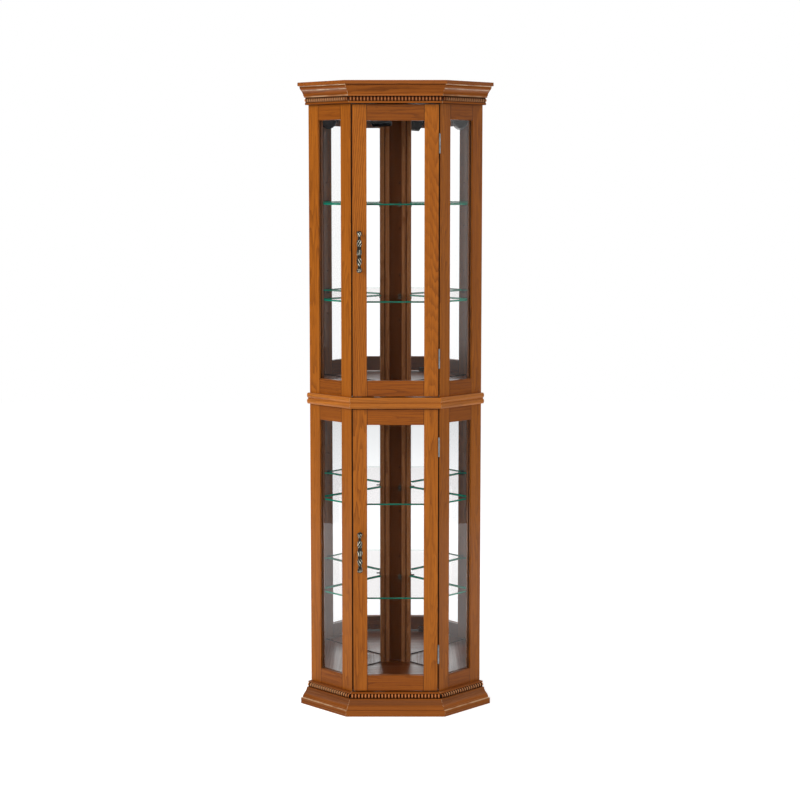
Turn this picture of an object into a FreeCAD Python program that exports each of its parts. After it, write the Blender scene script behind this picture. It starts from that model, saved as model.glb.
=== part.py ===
import FreeCAD, Part
import math
import os

from FreeCAD import Vector

# Corner curio cabinet, millimetres, +Z up, front towards -Y, standing on z = 0.
# The plan is a five-sided corner shape: a flat front, two side faces at 45 degrees,
# and two back walls that meet at a right angle in the corner of the room.

# --- overall size ---------------------------------------------------------------
HEIGHT = 1772.0             # floor to the top of the crown
WIDTH = 546.4               # across the side corners of the crown and the plinth
FRONT_WIDTH = 279.1         # flat front of the crown and the plinth
OVERHANG = 41.0             # crown and plinth beyond the carcass, front and sides
PLINTH_HEIGHT = 61.0
CROWN_HEIGHT = 61.0
WAIST_HEIGHT = 31.0

# --- boards and panels ----------------------------------------------------------
BOARD = 16.0                # floor and ceiling boards
TOP_BOARD = 10.0            # board that closes the crown
MOULDING_WALL = 16.0        # timber left behind the carcass face in crown and plinth
BACK_PANEL = 3.0
MIRROR = 3.0
MIRROR_TOP_GAP = 1.0

# --- timber frames and doors ----------------------------------------------------
FRAME = 18.0                # thickness of side frames and doors
SIDE_STILE = 41.0
SIDE_RAIL = 43.0
FRONT_EDGE_FLAT = 1.5       # blunt front corner of each side frame
DOOR_STILE = 40.0
DOOR_RAIL = 44.0
DOOR_SIDE_GAP = 2.9
DOOR_END_GAP = 2.5
GLASS = 4.0
GLASS_SETBACK = 7.0         # frame face to glass face
GLASS_FIT = 0.2             # slack on each face of the glass in its groove
GROOVE = 8.0                # depth of the glass groove
GROOVE_END_GAP = 0.5        # glass edge to groove bottom

# --- mouldings ------------------------------------------------------------------
CROWN_TOP = 33.0            # projections of the crown's members from the carcass
CROWN_BAND = 1.2            # swell of the band under the top board
CROWN_COVE_TOP = 26.4
CROWN_COVE_FOOT = 18.5
CROWN_FILLET = 17.0
CROWN_CHAMFER = 2.0         # steps over the cove and under the top board
BASE_FILLET = 12.8          # fillet on the carcass side of each bead strip
COVE_HEIGHT = 14.0
FILLET_HEIGHT = 4.0
PLINTH_TOE = 17.0           # height of the square foot of the plinth
PLINTH_OGEE_FOOT = 35.0
PLINTH_OGEE_TOP = 18.0
PLINTH_FILLET = 2.0
WAIST_REACH = 11.5
WAIST_EDGE = 8.5
WAIST_GROOVE = 2.4
WAIST_GROOVE_REACH = 7.0
CROWN_FOOT = 6.0            # fillet under the beads of the crown
PLINTH_CAP = 3.0            # fillet over the beads of the plinth
BEAD_CHANNEL = 14.0         # height of the channel that holds the bead strip
BEAD_CHANNEL_FLOOR = 11.0   # its floor, out from the carcass
BEAD_SLACK = 1.0            # channel edge to bead
BEAD_NECK = 3.2             # radius of the strip between two beads
BEAD_PITCH = 9.3

# --- corner posts ---------------------------------------------------------------
POST_DEPTH = 44.4           # face of the post to the corner where the mirrors meet
POST_RETURN = 1.0
POST_STRIP = 10.5
POST_GROOVE = 3.0
POST_GROOVE_DEPTH = 4.0
POST_REED = 12.0
POST_REED_CROWN = 1.5
POST_FLUTE_STEP = 2.0
POST_FLUTE_DEPTH = 10.0

# --- shelves and their supports -------------------------------------------------
SHELF = 5.0
SHELF_EDGE_GAP = 3.0        # shelf to side frames, mirrors and post
SHELF_DOOR_GAP = 6.0
SHELF_CORNER = 210.0        # side corners are cut off at this distance from the middle
SHELF_HEIGHTS = (262.0, 532.0)      # undersides, above each bay's floor
HOLE_STEP = 66.0            # spare support holes above and below each shelf
PEG_RADIUS = 2.5
PEG_FIT = 0.1
PEG_LENGTH = 9.0
HOLE_END_GAP = 1.0
SUPPORT_WIDTH = 10.0
SUPPORT_PLATE = 2.0
SUPPORT_TAB = 9.0
SUPPORT_DROP = 9.0          # plate below the shelf
SUPPORT_RISE = 7.0          # plate above the shelf's underside
FRONT_PEG_INSET = 11.0      # front pegs back from the glass edge of their stile
REAR_PEG_INSET = 20.0
POST_PEG_OFFSET = 12.0

# --- hinges ---------------------------------------------------------------------
HINGE_LENGTH = 54.0
HINGE_END = 106.0           # door end to hinge centre
KNUCKLE_RADIUS = 2.5
HINGE_PIN_RADIUS = 1.25
HINGE_RUNNING_FIT = 0.05
HINGE_AXIS_PROUD = 2.6      # axis in front of the door face
LEAF = 1.0
LEAF_WIDTH = 12.0           # leaf behind the door face
KNUCKLES = 5
KNUCKLE_GAP = 0.3
KNUCKLE_SWEEP = 0.4         # leaf clear of the other leaf's knuckles

# --- handles --------------------------------------------------------------------
HANDLE_LENGTH = 115.0
HANDLE_STANDOFF = 21.0      # door face to the middle of the grip
HANDLE_POST_RADIUS = 3.2
HANDLE_POST_INSET = 8.5
HANDLE_ROSE_RADIUS = 6.0
HANDLE_ROSE = 2.0
GRIP_END = 6.6              # radii of the grip along its length
GRIP_NECK = 3.4
GRIP_LEAF = 6.4
GRIP_WAIST = 4.8
GRIP_URN = 7.2

# --- door catches ---------------------------------------------------------------
CATCH_LENGTH = 36.0
CATCH_DEPTH = 14.0
CATCH_HEIGHT = 12.0
CATCH_MAGNET = 2.0          # magnet in front of its case
STRIKE_PLATE = 1.2
STRIKE_HEIGHT = 9.0
STRIKE_FIT = 0.3
CATCH_INSET = 42.0          # door edge to catch centre
CATCH_LIFT = 1.0            # strike above the door's lower edge

# --- lamp -----------------------------------------------------------------------
LAMP_RADIUS = 23.0
LAMP_WALL = 1.5
LAMP_X = -26.0              # swivel axis
LAMP_Y = 0.0
LAMP_DROP = 35.0            # ceiling to swivel axis
LAMP_TAIL = 15.0            # can behind its swivel axis
LAMP_REACH = 64.0           # can in front of it, at the top of the hood
LAMP_HOOD_SLOPE = 30.0      # degrees of the mouth from upright
LAMP_TILT = 4.0
LAMP_SOCKET = 5.0           # solid part of the can in front of its swivel axis
LENS = 3.0
LENS_FIT = 0.1
LENS_PLACE = 20.0           # lens in front of the swivel axis
YOKE = 2.0
YOKE_GAP = 1.5
YOKE_WIDTH = 13.0
SWIVEL_RADIUS = 2.5
SWIVEL_LENGTH = 5.0
LAMP_BASE = 10.0
LAMP_BASE_LENGTH = 80.0
WIRE_HOLE = 5.0             # radius of the hole through the ceiling board
GROMMET_RADIUS = 8.0
GROMMET_BORE = 4.0
GROMMET_FLANGE = 11.0
GROMMET_LIP = 2.0           # thickness of the flange
GROMMET_PLACE = 60.0        # from the rear corner, along the wall

# --- worked-out places ----------------------------------------------------------
ROOT2 = math.sqrt(2.0)
MITRE = math.tan(math.radians(22.5))
REAR = (WIDTH - FRONT_WIDTH / 2) / 2        # rear corner, and minus the crown's front
FRONT = OVERHANG - REAR                     # carcass front plane
HALF_FRONT = FRONT_WIDTH / 2 - OVERHANG * MITRE
SIDE_REACH = HALF_FRONT - FRONT             # x - y on the right-hand side face
SIDE_LENGTH = (REAR - FRONT - HALF_FRONT) / ROOT2
WALL_LENGTH = (SIDE_REACH + REAR) / ROOT2
CORNER = REAR - (BACK_PANEL + MIRROR) * ROOT2       # where the mirror faces meet
POST_FACE = CORNER - POST_DEPTH
BAY = (HEIGHT - PLINTH_HEIGHT - CROWN_HEIGHT - WAIST_HEIGHT) / 2
LOWER = PLINTH_HEIGHT                       # floors of the two bays
UPPER = PLINTH_HEIGHT + BAY + WAIST_HEIGHT
CEILING = UPPER + BAY
DOOR_HALF = HALF_FRONT - DOOR_SIDE_GAP
DOOR_BACK = FRONT + FRAME
CROWN_BEADS = CEILING + CROWN_FOOT + BEAD_CHANNEL / 2
PLINTH_BEADS = PLINTH_HEIGHT - PLINTH_CAP - BEAD_CHANNEL / 2
HINGE_X = HALF_FRONT - DOOR_SIDE_GAP / 2
HINGE_Y = FRONT - HINGE_AXIS_PROUD
CLEAR = OVERHANG + FRAME                    # reach of cutting blocks past the work


# --- shared construction --------------------------------------------------------
def export(name, *solids):
    """Writes one sub-part; like pieces are kept as separate solids of one node."""
    shape = solids[0] if len(solids) == 1 else Part.makeCompound(list(solids))
    os.makedirs("parts", exist_ok=True)
    shape.exportStep("parts/" + name + ".step")


def outline(place, start, *steps):
    """Closed face. A step is an end point, or (point on the arc, end point)."""
    edges = []
    here = start
    for step in steps + (start,):
        if isinstance(step[0], tuple):
            through, end = step
            edges.append(Part.Arc(place(*here), place(*through), place(*end)).toShape())
        else:
            end = step
            edges.append(Part.makeLine(place(*here), place(*end)))
        here = end
    return Part.Face(Part.Wire(edges))


def prism(points, low, high, place=lambda x, y: (x, y)):
    """Upright block over a plan polygon."""
    corners = [Vector(*place(*point), low) for point in points]
    return Part.Face(Part.makePolygon(corners + corners[:1])).extrude(Vector(0, 0, high - low))


def block(x0, x1, y0, y1, z0, z1):
    return Part.makeBox(x1 - x0, y1 - y0, z1 - z0, Vector(x0, y0, z0))


def rod(radius, start, direction, length):
    return Part.makeCylinder(radius, length, start, direction)


def mirrored(shape):
    """The left-hand copy of a right-hand piece."""
    return shape.mirror(Vector(0, 0, 0), Vector(1, 0, 0))


def plan(front=0.0, side=0.0, back=0.0):
    """Five-sided plan whose faces lie this far outside those of the carcass."""
    y = FRONT - front
    reach = SIDE_REACH + side * ROOT2
    rear = REAR + back * ROOT2
    right = [(reach + y, y), ((reach + rear) / 2, (rear - reach) / 2)]
    left = [(-x, y) for x, y in reversed(right)]
    return right + [(0, rear)] + left


def on_side(along, inward):
    """Plan point on the right side: along from its front edge, inward from its face."""
    return HALF_FRONT + (along - inward) / ROOT2, FRONT + (along + inward) / ROOT2


def on_wall(along, inward):
    """Plan point on the right back wall: along from the rear corner, inward from its face."""
    return (along - inward) / ROOT2, REAR - (along + inward) / ROOT2


def on_mitre(projection):
    """Plan point on the bisector of the right front corner."""
    return HALF_FRONT + projection * MITRE, FRONT - projection


def wall_layer(outer, inner, end, low, high):
    """Sheet along the right back wall, mitred at the rear corner."""
    points = [(outer, outer), (end, outer), (end, inner), (inner, inner)]
    return prism(points, low, high, on_wall)


# --- boards, back panels and mirrors --------------------------------------------
def back_panel():
    return wall_layer(0, BACK_PANEL, WALL_LENGTH - FRAME, 0, HEIGHT - TOP_BOARD)


def grommet_place():
    x, y = on_wall(GROMMET_PLACE, 0)
    return Vector(-x, y, (CEILING + BOARD + HEIGHT - TOP_BOARD) / 2)


def grommet():
    """Bush for the lamp lead in the left back panel: flush outside, its flange inside."""
    inward = Vector(1, -1, 0) / ROOT2
    face = grommet_place()
    length = BACK_PANEL + GROMMET_LIP
    barrel = rod(GROMMET_RADIUS, face, inward, length)
    flange = rod(GROMMET_FLANGE, face + inward * BACK_PANEL, inward, GROMMET_LIP)
    return barrel.fuse(flange).cut(rod(GROMMET_BORE, face, inward, length)).removeSplitter()


def left_back_panel():
    hole = rod(GROMMET_RADIUS, grommet_place(), Vector(1, -1, 0) / ROOT2, BACK_PANEL)
    return mirrored(back_panel()).cut(hole)


def board(low, high):
    """Carcass board, notched at the back for the panels."""
    panel = back_panel()
    return prism(plan(), low, high).cut(panel).cut(mirrored(panel))


def ceiling_board():
    wires = rod(WIRE_HOLE, Vector(LAMP_X, LAMP_Y, CEILING), Vector(0, 0, 1), BOARD)
    return board(CEILING, CEILING + BOARD).cut(wires)


def mirror_sheet(bay_floor):
    top = bay_floor + BAY - MIRROR_TOP_GAP
    return wall_layer(BACK_PANEL, BACK_PANEL + MIRROR, WALL_LENGTH - FRAME, bay_floor, top)


def plinth_back_rail():
    outer = BACK_PANEL
    end = WALL_LENGTH - MOULDING_WALL
    return wall_layer(outer, outer + MOULDING_WALL, end, 0, PLINTH_HEIGHT - BOARD).cut(back_panel())


def make_boards():
    export("top_board", prism(plan(OVERHANG, OVERHANG), HEIGHT - TOP_BOARD, HEIGHT))
    export("ceiling_board", ceiling_board())
    export("upper_floor_board", board(UPPER - WAIST_HEIGHT / 2, UPPER))
    export("lower_ceiling_board", board(LOWER + BAY, UPPER - WAIST_HEIGHT / 2))
    export("floor_board", board(LOWER - BOARD, LOWER))
    export("right_back_panel", back_panel())
    export("left_back_panel", left_back_panel())
    export("cord_grommet", grommet())
    rail = plinth_back_rail()
    export("plinth_back_rails", rail, mirrored(rail))
    for bay, floor in (("lower", LOWER), ("upper", UPPER)):
        sheet = mirror_sheet(floor)
        export(bay + "_right_mirror", sheet)
        export(bay + "_left_mirror", mirrored(sheet))


# --- mouldings ------------------------------------------------------------------
def front_sector(low, high):
    inner, outer = on_mitre(-CLEAR), on_mitre(CLEAR)
    points = [inner, outer, (-outer[0], outer[1]), (-inner[0], inner[1])]
    return prism(points, low, high)


def side_sector(low, high):
    ends = [on_side(SIDE_LENGTH, -CLEAR), on_side(SIDE_LENGTH, CLEAR)]
    return prism([on_mitre(-CLEAR), on_mitre(CLEAR)] + ends, low, high)


def mitred_runs(steps):
    """Front and right-hand runs of one profile, given as (projection, height) steps."""
    def on_front(projection, height):
        return Vector(-WIDTH / 2, FRONT - projection, height)

    def on_right(projection, height):
        return Vector(*on_side(-CLEAR, -projection), height)

    front = outline(on_front, *steps).extrude(Vector(WIDTH, 0, 0))
    length = (SIDE_LENGTH + CLEAR * 2) / ROOT2
    right = outline(on_right, *steps).extrude(Vector(length, length, 0))
    return front.common(front_sector(0, HEIGHT)), right.common(side_sector(0, HEIGHT))


def crown_profile():
    """Fillet, bead channel, fillet, cove and swelling band, rebated over the ceiling board."""
    top = HEIGHT - TOP_BOARD
    channel = CEILING + CROWN_FOOT
    fillet = channel + BEAD_CHANNEL
    cove = fillet + FILLET_HEIGHT
    step = cove + COVE_HEIGHT
    band, crest = step + CROWN_CHAMFER, top - CROWN_CHAMFER
    band_foot = CROWN_COVE_TOP + CROWN_CHAMFER
    cove_middle = (CROWN_COVE_TOP * 0.4 + CROWN_COVE_FOOT * 0.6, cove + COVE_HEIGHT * 0.6)
    band_middle = ((band_foot + CROWN_TOP) / 2 + CROWN_BAND, (band + crest) / 2)
    return [
        (0, CEILING), (BASE_FILLET, CEILING), (BASE_FILLET, channel),
        (BEAD_CHANNEL_FLOOR, channel), (BEAD_CHANNEL_FLOOR, fillet),
        (CROWN_FILLET, fillet), (CROWN_FILLET, cove), (CROWN_COVE_FOOT, cove),
        (cove_middle, (CROWN_COVE_TOP, step)), (band_foot, band),
        (band_middle, (CROWN_TOP, crest)), (CROWN_TOP + CROWN_CHAMFER, top),
        (-MOULDING_WALL, top), (-MOULDING_WALL, CEILING + BOARD), (0, CEILING + BOARD),
    ]


def plinth_profile():
    """Square toe, ogee, fillet and bead channel, rebated under the floor board."""
    channel_top = PLINTH_HEIGHT - PLINTH_CAP
    channel = channel_top - BEAD_CHANNEL
    ogee_top = channel - PLINTH_FILLET
    half = (PLINTH_TOE + ogee_top) / 2
    quarter = (half - PLINTH_TOE) / 2
    middle = (PLINTH_OGEE_FOOT + PLINTH_OGEE_TOP) / 2
    swell = (PLINTH_OGEE_FOOT - middle) / 5
    shelf = PLINTH_HEIGHT - BOARD
    return [
        (-MOULDING_WALL, 0), (OVERHANG, 0), (OVERHANG, PLINTH_TOE), (PLINTH_OGEE_FOOT, PLINTH_TOE),
        (((PLINTH_OGEE_FOOT + middle) / 2 + swell, PLINTH_TOE + quarter), (middle, half)),
        (((PLINTH_OGEE_TOP + middle) / 2 - swell, half + quarter), (PLINTH_OGEE_TOP, ogee_top)),
        (PLINTH_OGEE_TOP, channel), (BEAD_CHANNEL_FLOOR, channel),
        (BEAD_CHANNEL_FLOOR, channel_top), (BASE_FILLET, channel_top),
        (BASE_FILLET, PLINTH_HEIGHT), (0, PLINTH_HEIGHT), (0, shelf), (-MOULDING_WALL, shelf),
    ]


def waist_profile():
    """Two rounded bands with a groove between them."""
    low, high = UPPER - WAIST_HEIGHT, UPPER
    middle = (low + high) / 2
    groove = WAIST_GROOVE / 2
    return [
        (0, low), (WAIST_EDGE, low),
        ((WAIST_REACH, (low + middle - groove) / 2), (WAIST_EDGE, middle - groove)),
        (WAIST_GROOVE_REACH, middle - groove), (WAIST_GROOVE_REACH, middle + groove),
        (WAIST_EDGE, middle + groove),
        ((WAIST_REACH, (high + middle + groove) / 2), (WAIST_EDGE, high)), (0, high),
    ]


def bead_rod(start, direction, length, spare):
    """Half-round string of beads on a channel floor, with spare beads before and after it."""
    count = max(1, round(length / BEAD_PITCH))
    pitch = length / count
    radius = BEAD_CHANNEL / 2 - BEAD_SLACK

    def place(along, out):
        return start + direction * along + Vector(0, 0, out)

    first, last = -spare[0], count + spare[1]
    steps = [(first * pitch, 0), (first * pitch, BEAD_NECK)]
    for bead in range(first, last):
        steps.append((((bead + 0.5) * pitch, radius), ((bead + 1) * pitch, BEAD_NECK)))
    steps.append((last * pitch, 0))
    return outline(place, *steps).revolve(start, direction, 180)


def bead_strips(height):
    corner = on_mitre(BEAD_CHANNEL_FLOOR)
    low, high = height - BEAD_CHANNEL, height + BEAD_CHANNEL
    front = bead_rod(Vector(-corner[0], corner[1], height), Vector(1, 0, 0), corner[0] * 2, (1, 1))
    length = SIDE_LENGTH + BEAD_CHANNEL_FLOOR * MITRE
    side = bead_rod(Vector(*corner, height), Vector(1, 1, 0) / ROOT2, length, (1, 0))
    side = side.common(side_sector(low, high))
    return front.common(front_sector(low, high)), side, mirrored(side)


def make_mouldings():
    for name, profile in (("crown", crown_profile), ("waist", waist_profile), ("plinth", plinth_profile)):
        front, right = mitred_runs(profile())
        export(name + "_front", front)
        export(name + "_right", right)
        export(name + "_left", mirrored(right))
    export("crown_beads", *bead_strips(CROWN_BEADS))
    export("plinth_beads", *bead_strips(PLINTH_BEADS))


# --- shelf supports -------------------------------------------------------------
def peg_places():
    """Supports round a shelf: plan point on the timber face, and the way into the room."""
    front = on_side(SIDE_STILE - FRONT_PEG_INSET, FRAME)
    rear = on_side(SIDE_LENGTH - REAR_PEG_INSET, FRAME)
    inward = Vector(-1, 1, 0) / ROOT2
    places = []
    for x, y in (front, rear):
        places.append((Vector(x, y, 0), inward))
        places.append((Vector(-x, y, 0), Vector(-inward.x, inward.y, 0)))
    places.append((Vector(POST_PEG_OFFSET, POST_FACE, 0), Vector(0, -1, 0)))
    return places


def peg_holes(bay_floor):
    """Drillings for the pegs of both shelves of one bay, with spare rows above and below."""
    holes = []
    depth = PEG_LENGTH + HOLE_END_GAP
    for shelf in SHELF_HEIGHTS:
        for step in (-HOLE_STEP, 0, HOLE_STEP):
            height = Vector(0, 0, bay_floor + shelf - SUPPORT_DROP / 2 + step)
            for point, inward in peg_places():
                start = point + height + inward * depth
                holes.append(rod(PEG_RADIUS + PEG_FIT, start, inward * -1, depth * 2))
    return Part.makeCompound(holes)


def shelf_support(point, inward):
    """Peg, upright plate against the timber, and a tab under the glass."""
    across = Vector(inward.y, -inward.x, 0) * (SUPPORT_WIDTH / 2)

    def plate(out0, out1, low, high):
        corners = [
            point + inward * out0 - across, point + inward * out0 + across,
            point + inward * out1 + across, point + inward * out1 - across,
        ]
        lifted = [corner + Vector(0, 0, low) for corner in corners]
        face = Part.Face(Part.makePolygon(lifted + lifted[:1]))
        return face.extrude(Vector(0, 0, high - low))

    peg_start = point + Vector(0, 0, -SUPPORT_DROP / 2) - inward * PEG_LENGTH
    peg = rod(PEG_RADIUS, peg_start, inward, PEG_LENGTH + SUPPORT_PLATE / 2)
    upright = plate(0, SUPPORT_PLATE, -SUPPORT_DROP, SUPPORT_RISE)
    tab = plate(0, SUPPORT_PLATE + SUPPORT_TAB, -SUPPORT_PLATE, 0)
    return upright.fuse([tab, peg]).removeSplitter()


def shelf(height):
    """Glass plate that follows the room inside, with its side corners cut off."""
    reach = SIDE_REACH - (FRAME + SHELF_EDGE_GAP) * ROOT2
    rear = CORNER - SHELF_EDGE_GAP * ROOT2
    front_y = DOOR_BACK + SHELF_DOOR_GAP
    rear_y = POST_FACE - SHELF_EDGE_GAP
    right = [
        (reach + front_y, front_y), (SHELF_CORNER, SHELF_CORNER - reach),
        (SHELF_CORNER, rear - SHELF_CORNER), (rear - rear_y, rear_y),
    ]
    left = [(-x, y) for x, y in reversed(right)]
    return prism(right + left, height, height + SHELF)


def make_shelves():
    supports = []
    for bay, floor in (("lower", LOWER), ("upper", UPPER)):
        for place, height in zip(("bottom", "top"), SHELF_HEIGHTS):
            export(bay + "_" + place + "_shelf", shelf(floor + height))
            lift = Vector(0, 0, floor + height)
            supports += [shelf_support(point + lift, inward) for point, inward in peg_places()]
    export("shelf_supports", *supports)


# --- corner posts ---------------------------------------------------------------
def corner_post(bay_floor):
    """Fluted post between floor and ceiling that covers the joint of the mirrors."""
    half = POST_DEPTH - POST_RETURN
    groove = half - POST_STRIP
    reed = groove - POST_GROOVE
    flute = reed - POST_REED
    half_reed = (reed + flute) / 2

    def place(x, depth):
        return Vector(x, POST_FACE + depth, bay_floor)

    steps = [
        (-half, POST_RETURN), (-half, 0), (-groove, 0),
        (-groove, POST_GROOVE_DEPTH), (-reed, POST_GROOVE_DEPTH), (-reed, POST_REED_CROWN),
        ((-half_reed, 0), (-flute, POST_REED_CROWN)), (-flute, POST_FLUTE_STEP + POST_REED_CROWN),
        ((0, POST_FLUTE_DEPTH), (flute, POST_FLUTE_STEP + POST_REED_CROWN)),
        (flute, POST_REED_CROWN), ((half_reed, 0), (reed, POST_REED_CROWN)),
        (reed, POST_GROOVE_DEPTH), (groove, POST_GROOVE_DEPTH), (groove, 0),
        (half, 0), (half, POST_RETURN), (0, POST_DEPTH),
    ]
    post = outline(place, *steps).extrude(Vector(0, 0, BAY))
    return post.cut(peg_holes(bay_floor))


# --- side frames ----------------------------------------------------------------
def side_stiles(bay_floor):
    """Front and rear stiles of a right-hand side frame, grooved for the glass."""
    flat = FRONT_EDGE_FLAT / ROOT2
    front_plan = [
        (flat * 2, 0), (SIDE_STILE, 0), (SIDE_STILE, FRAME), (FRAME, FRAME), (flat, flat),
    ]
    rear_start = SIDE_LENGTH - SIDE_STILE
    rear_plan = [(rear_start, 0), (SIDE_LENGTH, 0), (SIDE_LENGTH, FRAME), (rear_start, FRAME)]
    slot_low, slot_high = GLASS_SETBACK - GLASS_FIT, GLASS_SETBACK + GLASS + GLASS_FIT
    slot_start, slot_end = SIDE_STILE - GROOVE, rear_start + GROOVE
    slot_plan = [
        (slot_start, slot_low), (slot_end, slot_low), (slot_end, slot_high), (slot_start, slot_high),
    ]
    rail = SIDE_RAIL - GROOVE
    slot = prism(slot_plan, bay_floor + rail, bay_floor + BAY - rail, on_side)
    holes = peg_holes(bay_floor)
    stiles = []
    for points in (front_plan, rear_plan):
        stile = prism(points, bay_floor, bay_floor + BAY, on_side)
        stiles.append(stile.cut(slot).cut(holes))
    return stiles


def side_rails(bay_floor):
    start, end = SIDE_STILE, SIDE_LENGTH - SIDE_STILE
    slot_low, slot_high = GLASS_SETBACK - GLASS_FIT, GLASS_SETBACK + GLASS + GLASS_FIT
    slot_plan = [(start, slot_low), (end, slot_low), (end, slot_high), (start, slot_high)]
    low, high = bay_floor + SIDE_RAIL, bay_floor + BAY - SIDE_RAIL
    slot = prism(slot_plan, low - GROOVE, high + GROOVE, on_side)
    rail_plan = [(start, 0), (end, 0), (end, FRAME), (start, FRAME)]
    bottom = prism(rail_plan, bay_floor, low, on_side).cut(slot)
    top = prism(rail_plan, high, bay_floor + BAY, on_side).cut(slot)
    return [bottom, top]


def side_glass(bay_floor):
    reach = GROOVE - GROOVE_END_GAP
    start, end = SIDE_STILE - reach, SIDE_LENGTH - SIDE_STILE + reach
    back = GLASS_SETBACK + GLASS
    points = [(start, GLASS_SETBACK), (end, GLASS_SETBACK), (end, back), (start, back)]
    low, high = bay_floor + SIDE_RAIL - reach, bay_floor + BAY - SIDE_RAIL + reach
    return prism(points, low, high, on_side)


def make_sides():
    for bay, floor in (("lower", LOWER), ("upper", UPPER)):
        stiles, rails, pane = side_stiles(floor), side_rails(floor), side_glass(floor)
        export(bay + "_right_side_stiles", *stiles)
        export(bay + "_left_side_stiles", *[mirrored(stile) for stile in stiles])
        export(bay + "_right_side_rails", *rails)
        export(bay + "_left_side_rails", *[mirrored(rail) for rail in rails])
        export(bay + "_right_side_glass", pane)
        export(bay + "_left_side_glass", mirrored(pane))
        export(bay + "_corner_post", corner_post(floor))


# --- doors ----------------------------------------------------------------------
def door_heights(bay_floor):
    return bay_floor + DOOR_END_GAP, bay_floor + BAY - DOOR_END_GAP


def door_slot(bay_floor):
    low, high = door_heights(bay_floor)
    reach = DOOR_HALF - DOOR_STILE + GROOVE
    face = FRONT + GLASS_SETBACK - GLASS_FIT
    rail = DOOR_RAIL - GROOVE
    return block(-reach, reach, face, face + GLASS + GLASS_FIT * 2, low + rail, high - rail)


def door_stiles(bay_floor):
    low, high = door_heights(bay_floor)
    right = block(DOOR_HALF - DOOR_STILE, DOOR_HALF, FRONT, DOOR_BACK, low, high)
    right = right.cut(door_slot(bay_floor))
    return [right, mirrored(right)]


def door_rails(bay_floor):
    low, high = door_heights(bay_floor)
    half = DOOR_HALF - DOOR_STILE
    slot = door_slot(bay_floor)
    bottom = block(-half, half, FRONT, DOOR_BACK, low, low + DOOR_RAIL).cut(slot)
    top = block(-half, half, FRONT, DOOR_BACK, high - DOOR_RAIL, high).cut(slot)
    return [bottom, top]


def door_glass(bay_floor):
    low, high = door_heights(bay_floor)
    reach = GROOVE - GROOVE_END_GAP
    half = DOOR_HALF - DOOR_STILE + reach
    face = FRONT + GLASS_SETBACK
    rail = DOOR_RAIL - reach
    return block(-half, half, face, face + GLASS, low + rail, high - rail)


def grip_profile():
    """Radii down the grip: flared end, neck, leaf, waist, urn, and the same below."""
    half = HANDLE_LENGTH / 2
    return [
        (1.00, GRIP_END * 0.55), (0.92, GRIP_END), (0.80, GRIP_END * 0.8), (0.66, GRIP_NECK),
        (0.45, GRIP_LEAF), (0.22, GRIP_WAIST), (0.06, GRIP_URN), (-0.12, GRIP_URN * 0.93),
        (-0.26, GRIP_WAIST), (-0.48, GRIP_LEAF), (-0.68, GRIP_NECK), (-0.80, GRIP_END * 0.85),
        (-0.90, GRIP_END), (-1.00, GRIP_END * 0.5),
    ], half


def door_handle(bay_floor):
    """Turned pull on two posts, upright on the free stile at mid height."""
    x = DOOR_STILE / 2 - DOOR_HALF
    y = FRONT - HANDLE_STANDOFF
    middle = bay_floor + BAY / 2
    profile, half = grip_profile()
    points = [Vector(x + radius, y, middle + share * half) for share, radius in profile]
    curve = Part.BSplineCurve()
    curve.interpolate(points)
    top, foot = Vector(x, y, middle + half), Vector(x, y, middle - half)
    edges = [
        Part.makeLine(top, points[0]), curve.toShape(),
        Part.makeLine(points[-1], foot), Part.makeLine(foot, top),
    ]
    handle = Part.Face(Part.Wire(edges)).revolve(foot, Vector(0, 0, 1), 360)
    for side in (-1, 1):
        start = Vector(x, FRONT, middle + side * (half - HANDLE_POST_INSET))
        out = Vector(0, -1, 0)
        handle = handle.fuse(rod(HANDLE_POST_RADIUS, start, out, HANDLE_STANDOFF))
        handle = handle.fuse(rod(HANDLE_ROSE_RADIUS, start, out, HANDLE_ROSE))
    return handle


def hinge_centres(bay_floor):
    low, high = door_heights(bay_floor)
    return [low + HINGE_END, high - HINGE_END]


def knuckle_rod(radius, indices, centre, ends):
    """Cylinders at the numbered knuckles of a hinge; ends grows or trims each one."""
    pitch = HINGE_LENGTH / KNUCKLES
    low = centre - HINGE_LENGTH / 2
    rods = []
    for index in indices:
        start = Vector(HINGE_X, HINGE_Y, low + index * pitch - ends)
        rods.append(rod(radius, start, Vector(0, 0, 1), pitch + ends * 2))
    return rods


def hinge_leaf(centre, is_door):
    """One leaf with its knuckles; the frame leaf also holds the pin."""
    own = range(1, KNUCKLES, 2) if is_door else range(0, KNUCKLES, 2)
    other = range(0, KNUCKLES, 2) if is_door else range(1, KNUCKLES, 2)
    x = DOOR_HALF if is_door else HALF_FRONT - LEAF
    low, high = centre - HINGE_LENGTH / 2, centre + HINGE_LENGTH / 2
    leaf = block(x, x + LEAF, HINGE_Y, FRONT + LEAF_WIDTH, low, high)
    leaf = leaf.cut(knuckle_rod(KNUCKLE_RADIUS + KNUCKLE_SWEEP, other, centre, 0))
    leaf = leaf.fuse(knuckle_rod(KNUCKLE_RADIUS, own, centre, -KNUCKLE_GAP / 2))
    start = Vector(HINGE_X, HINGE_Y, low)
    bore = rod(HINGE_PIN_RADIUS + HINGE_RUNNING_FIT, start, Vector(0, 0, 1), HINGE_LENGTH)
    if is_door:
        return leaf.cut(bore).removeSplitter()
    pin = rod(HINGE_PIN_RADIUS, start, Vector(0, 0, 1), HINGE_LENGTH)
    return leaf.fuse(pin).removeSplitter()


def catch_middle():
    return CATCH_INSET - DOOR_HALF


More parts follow.
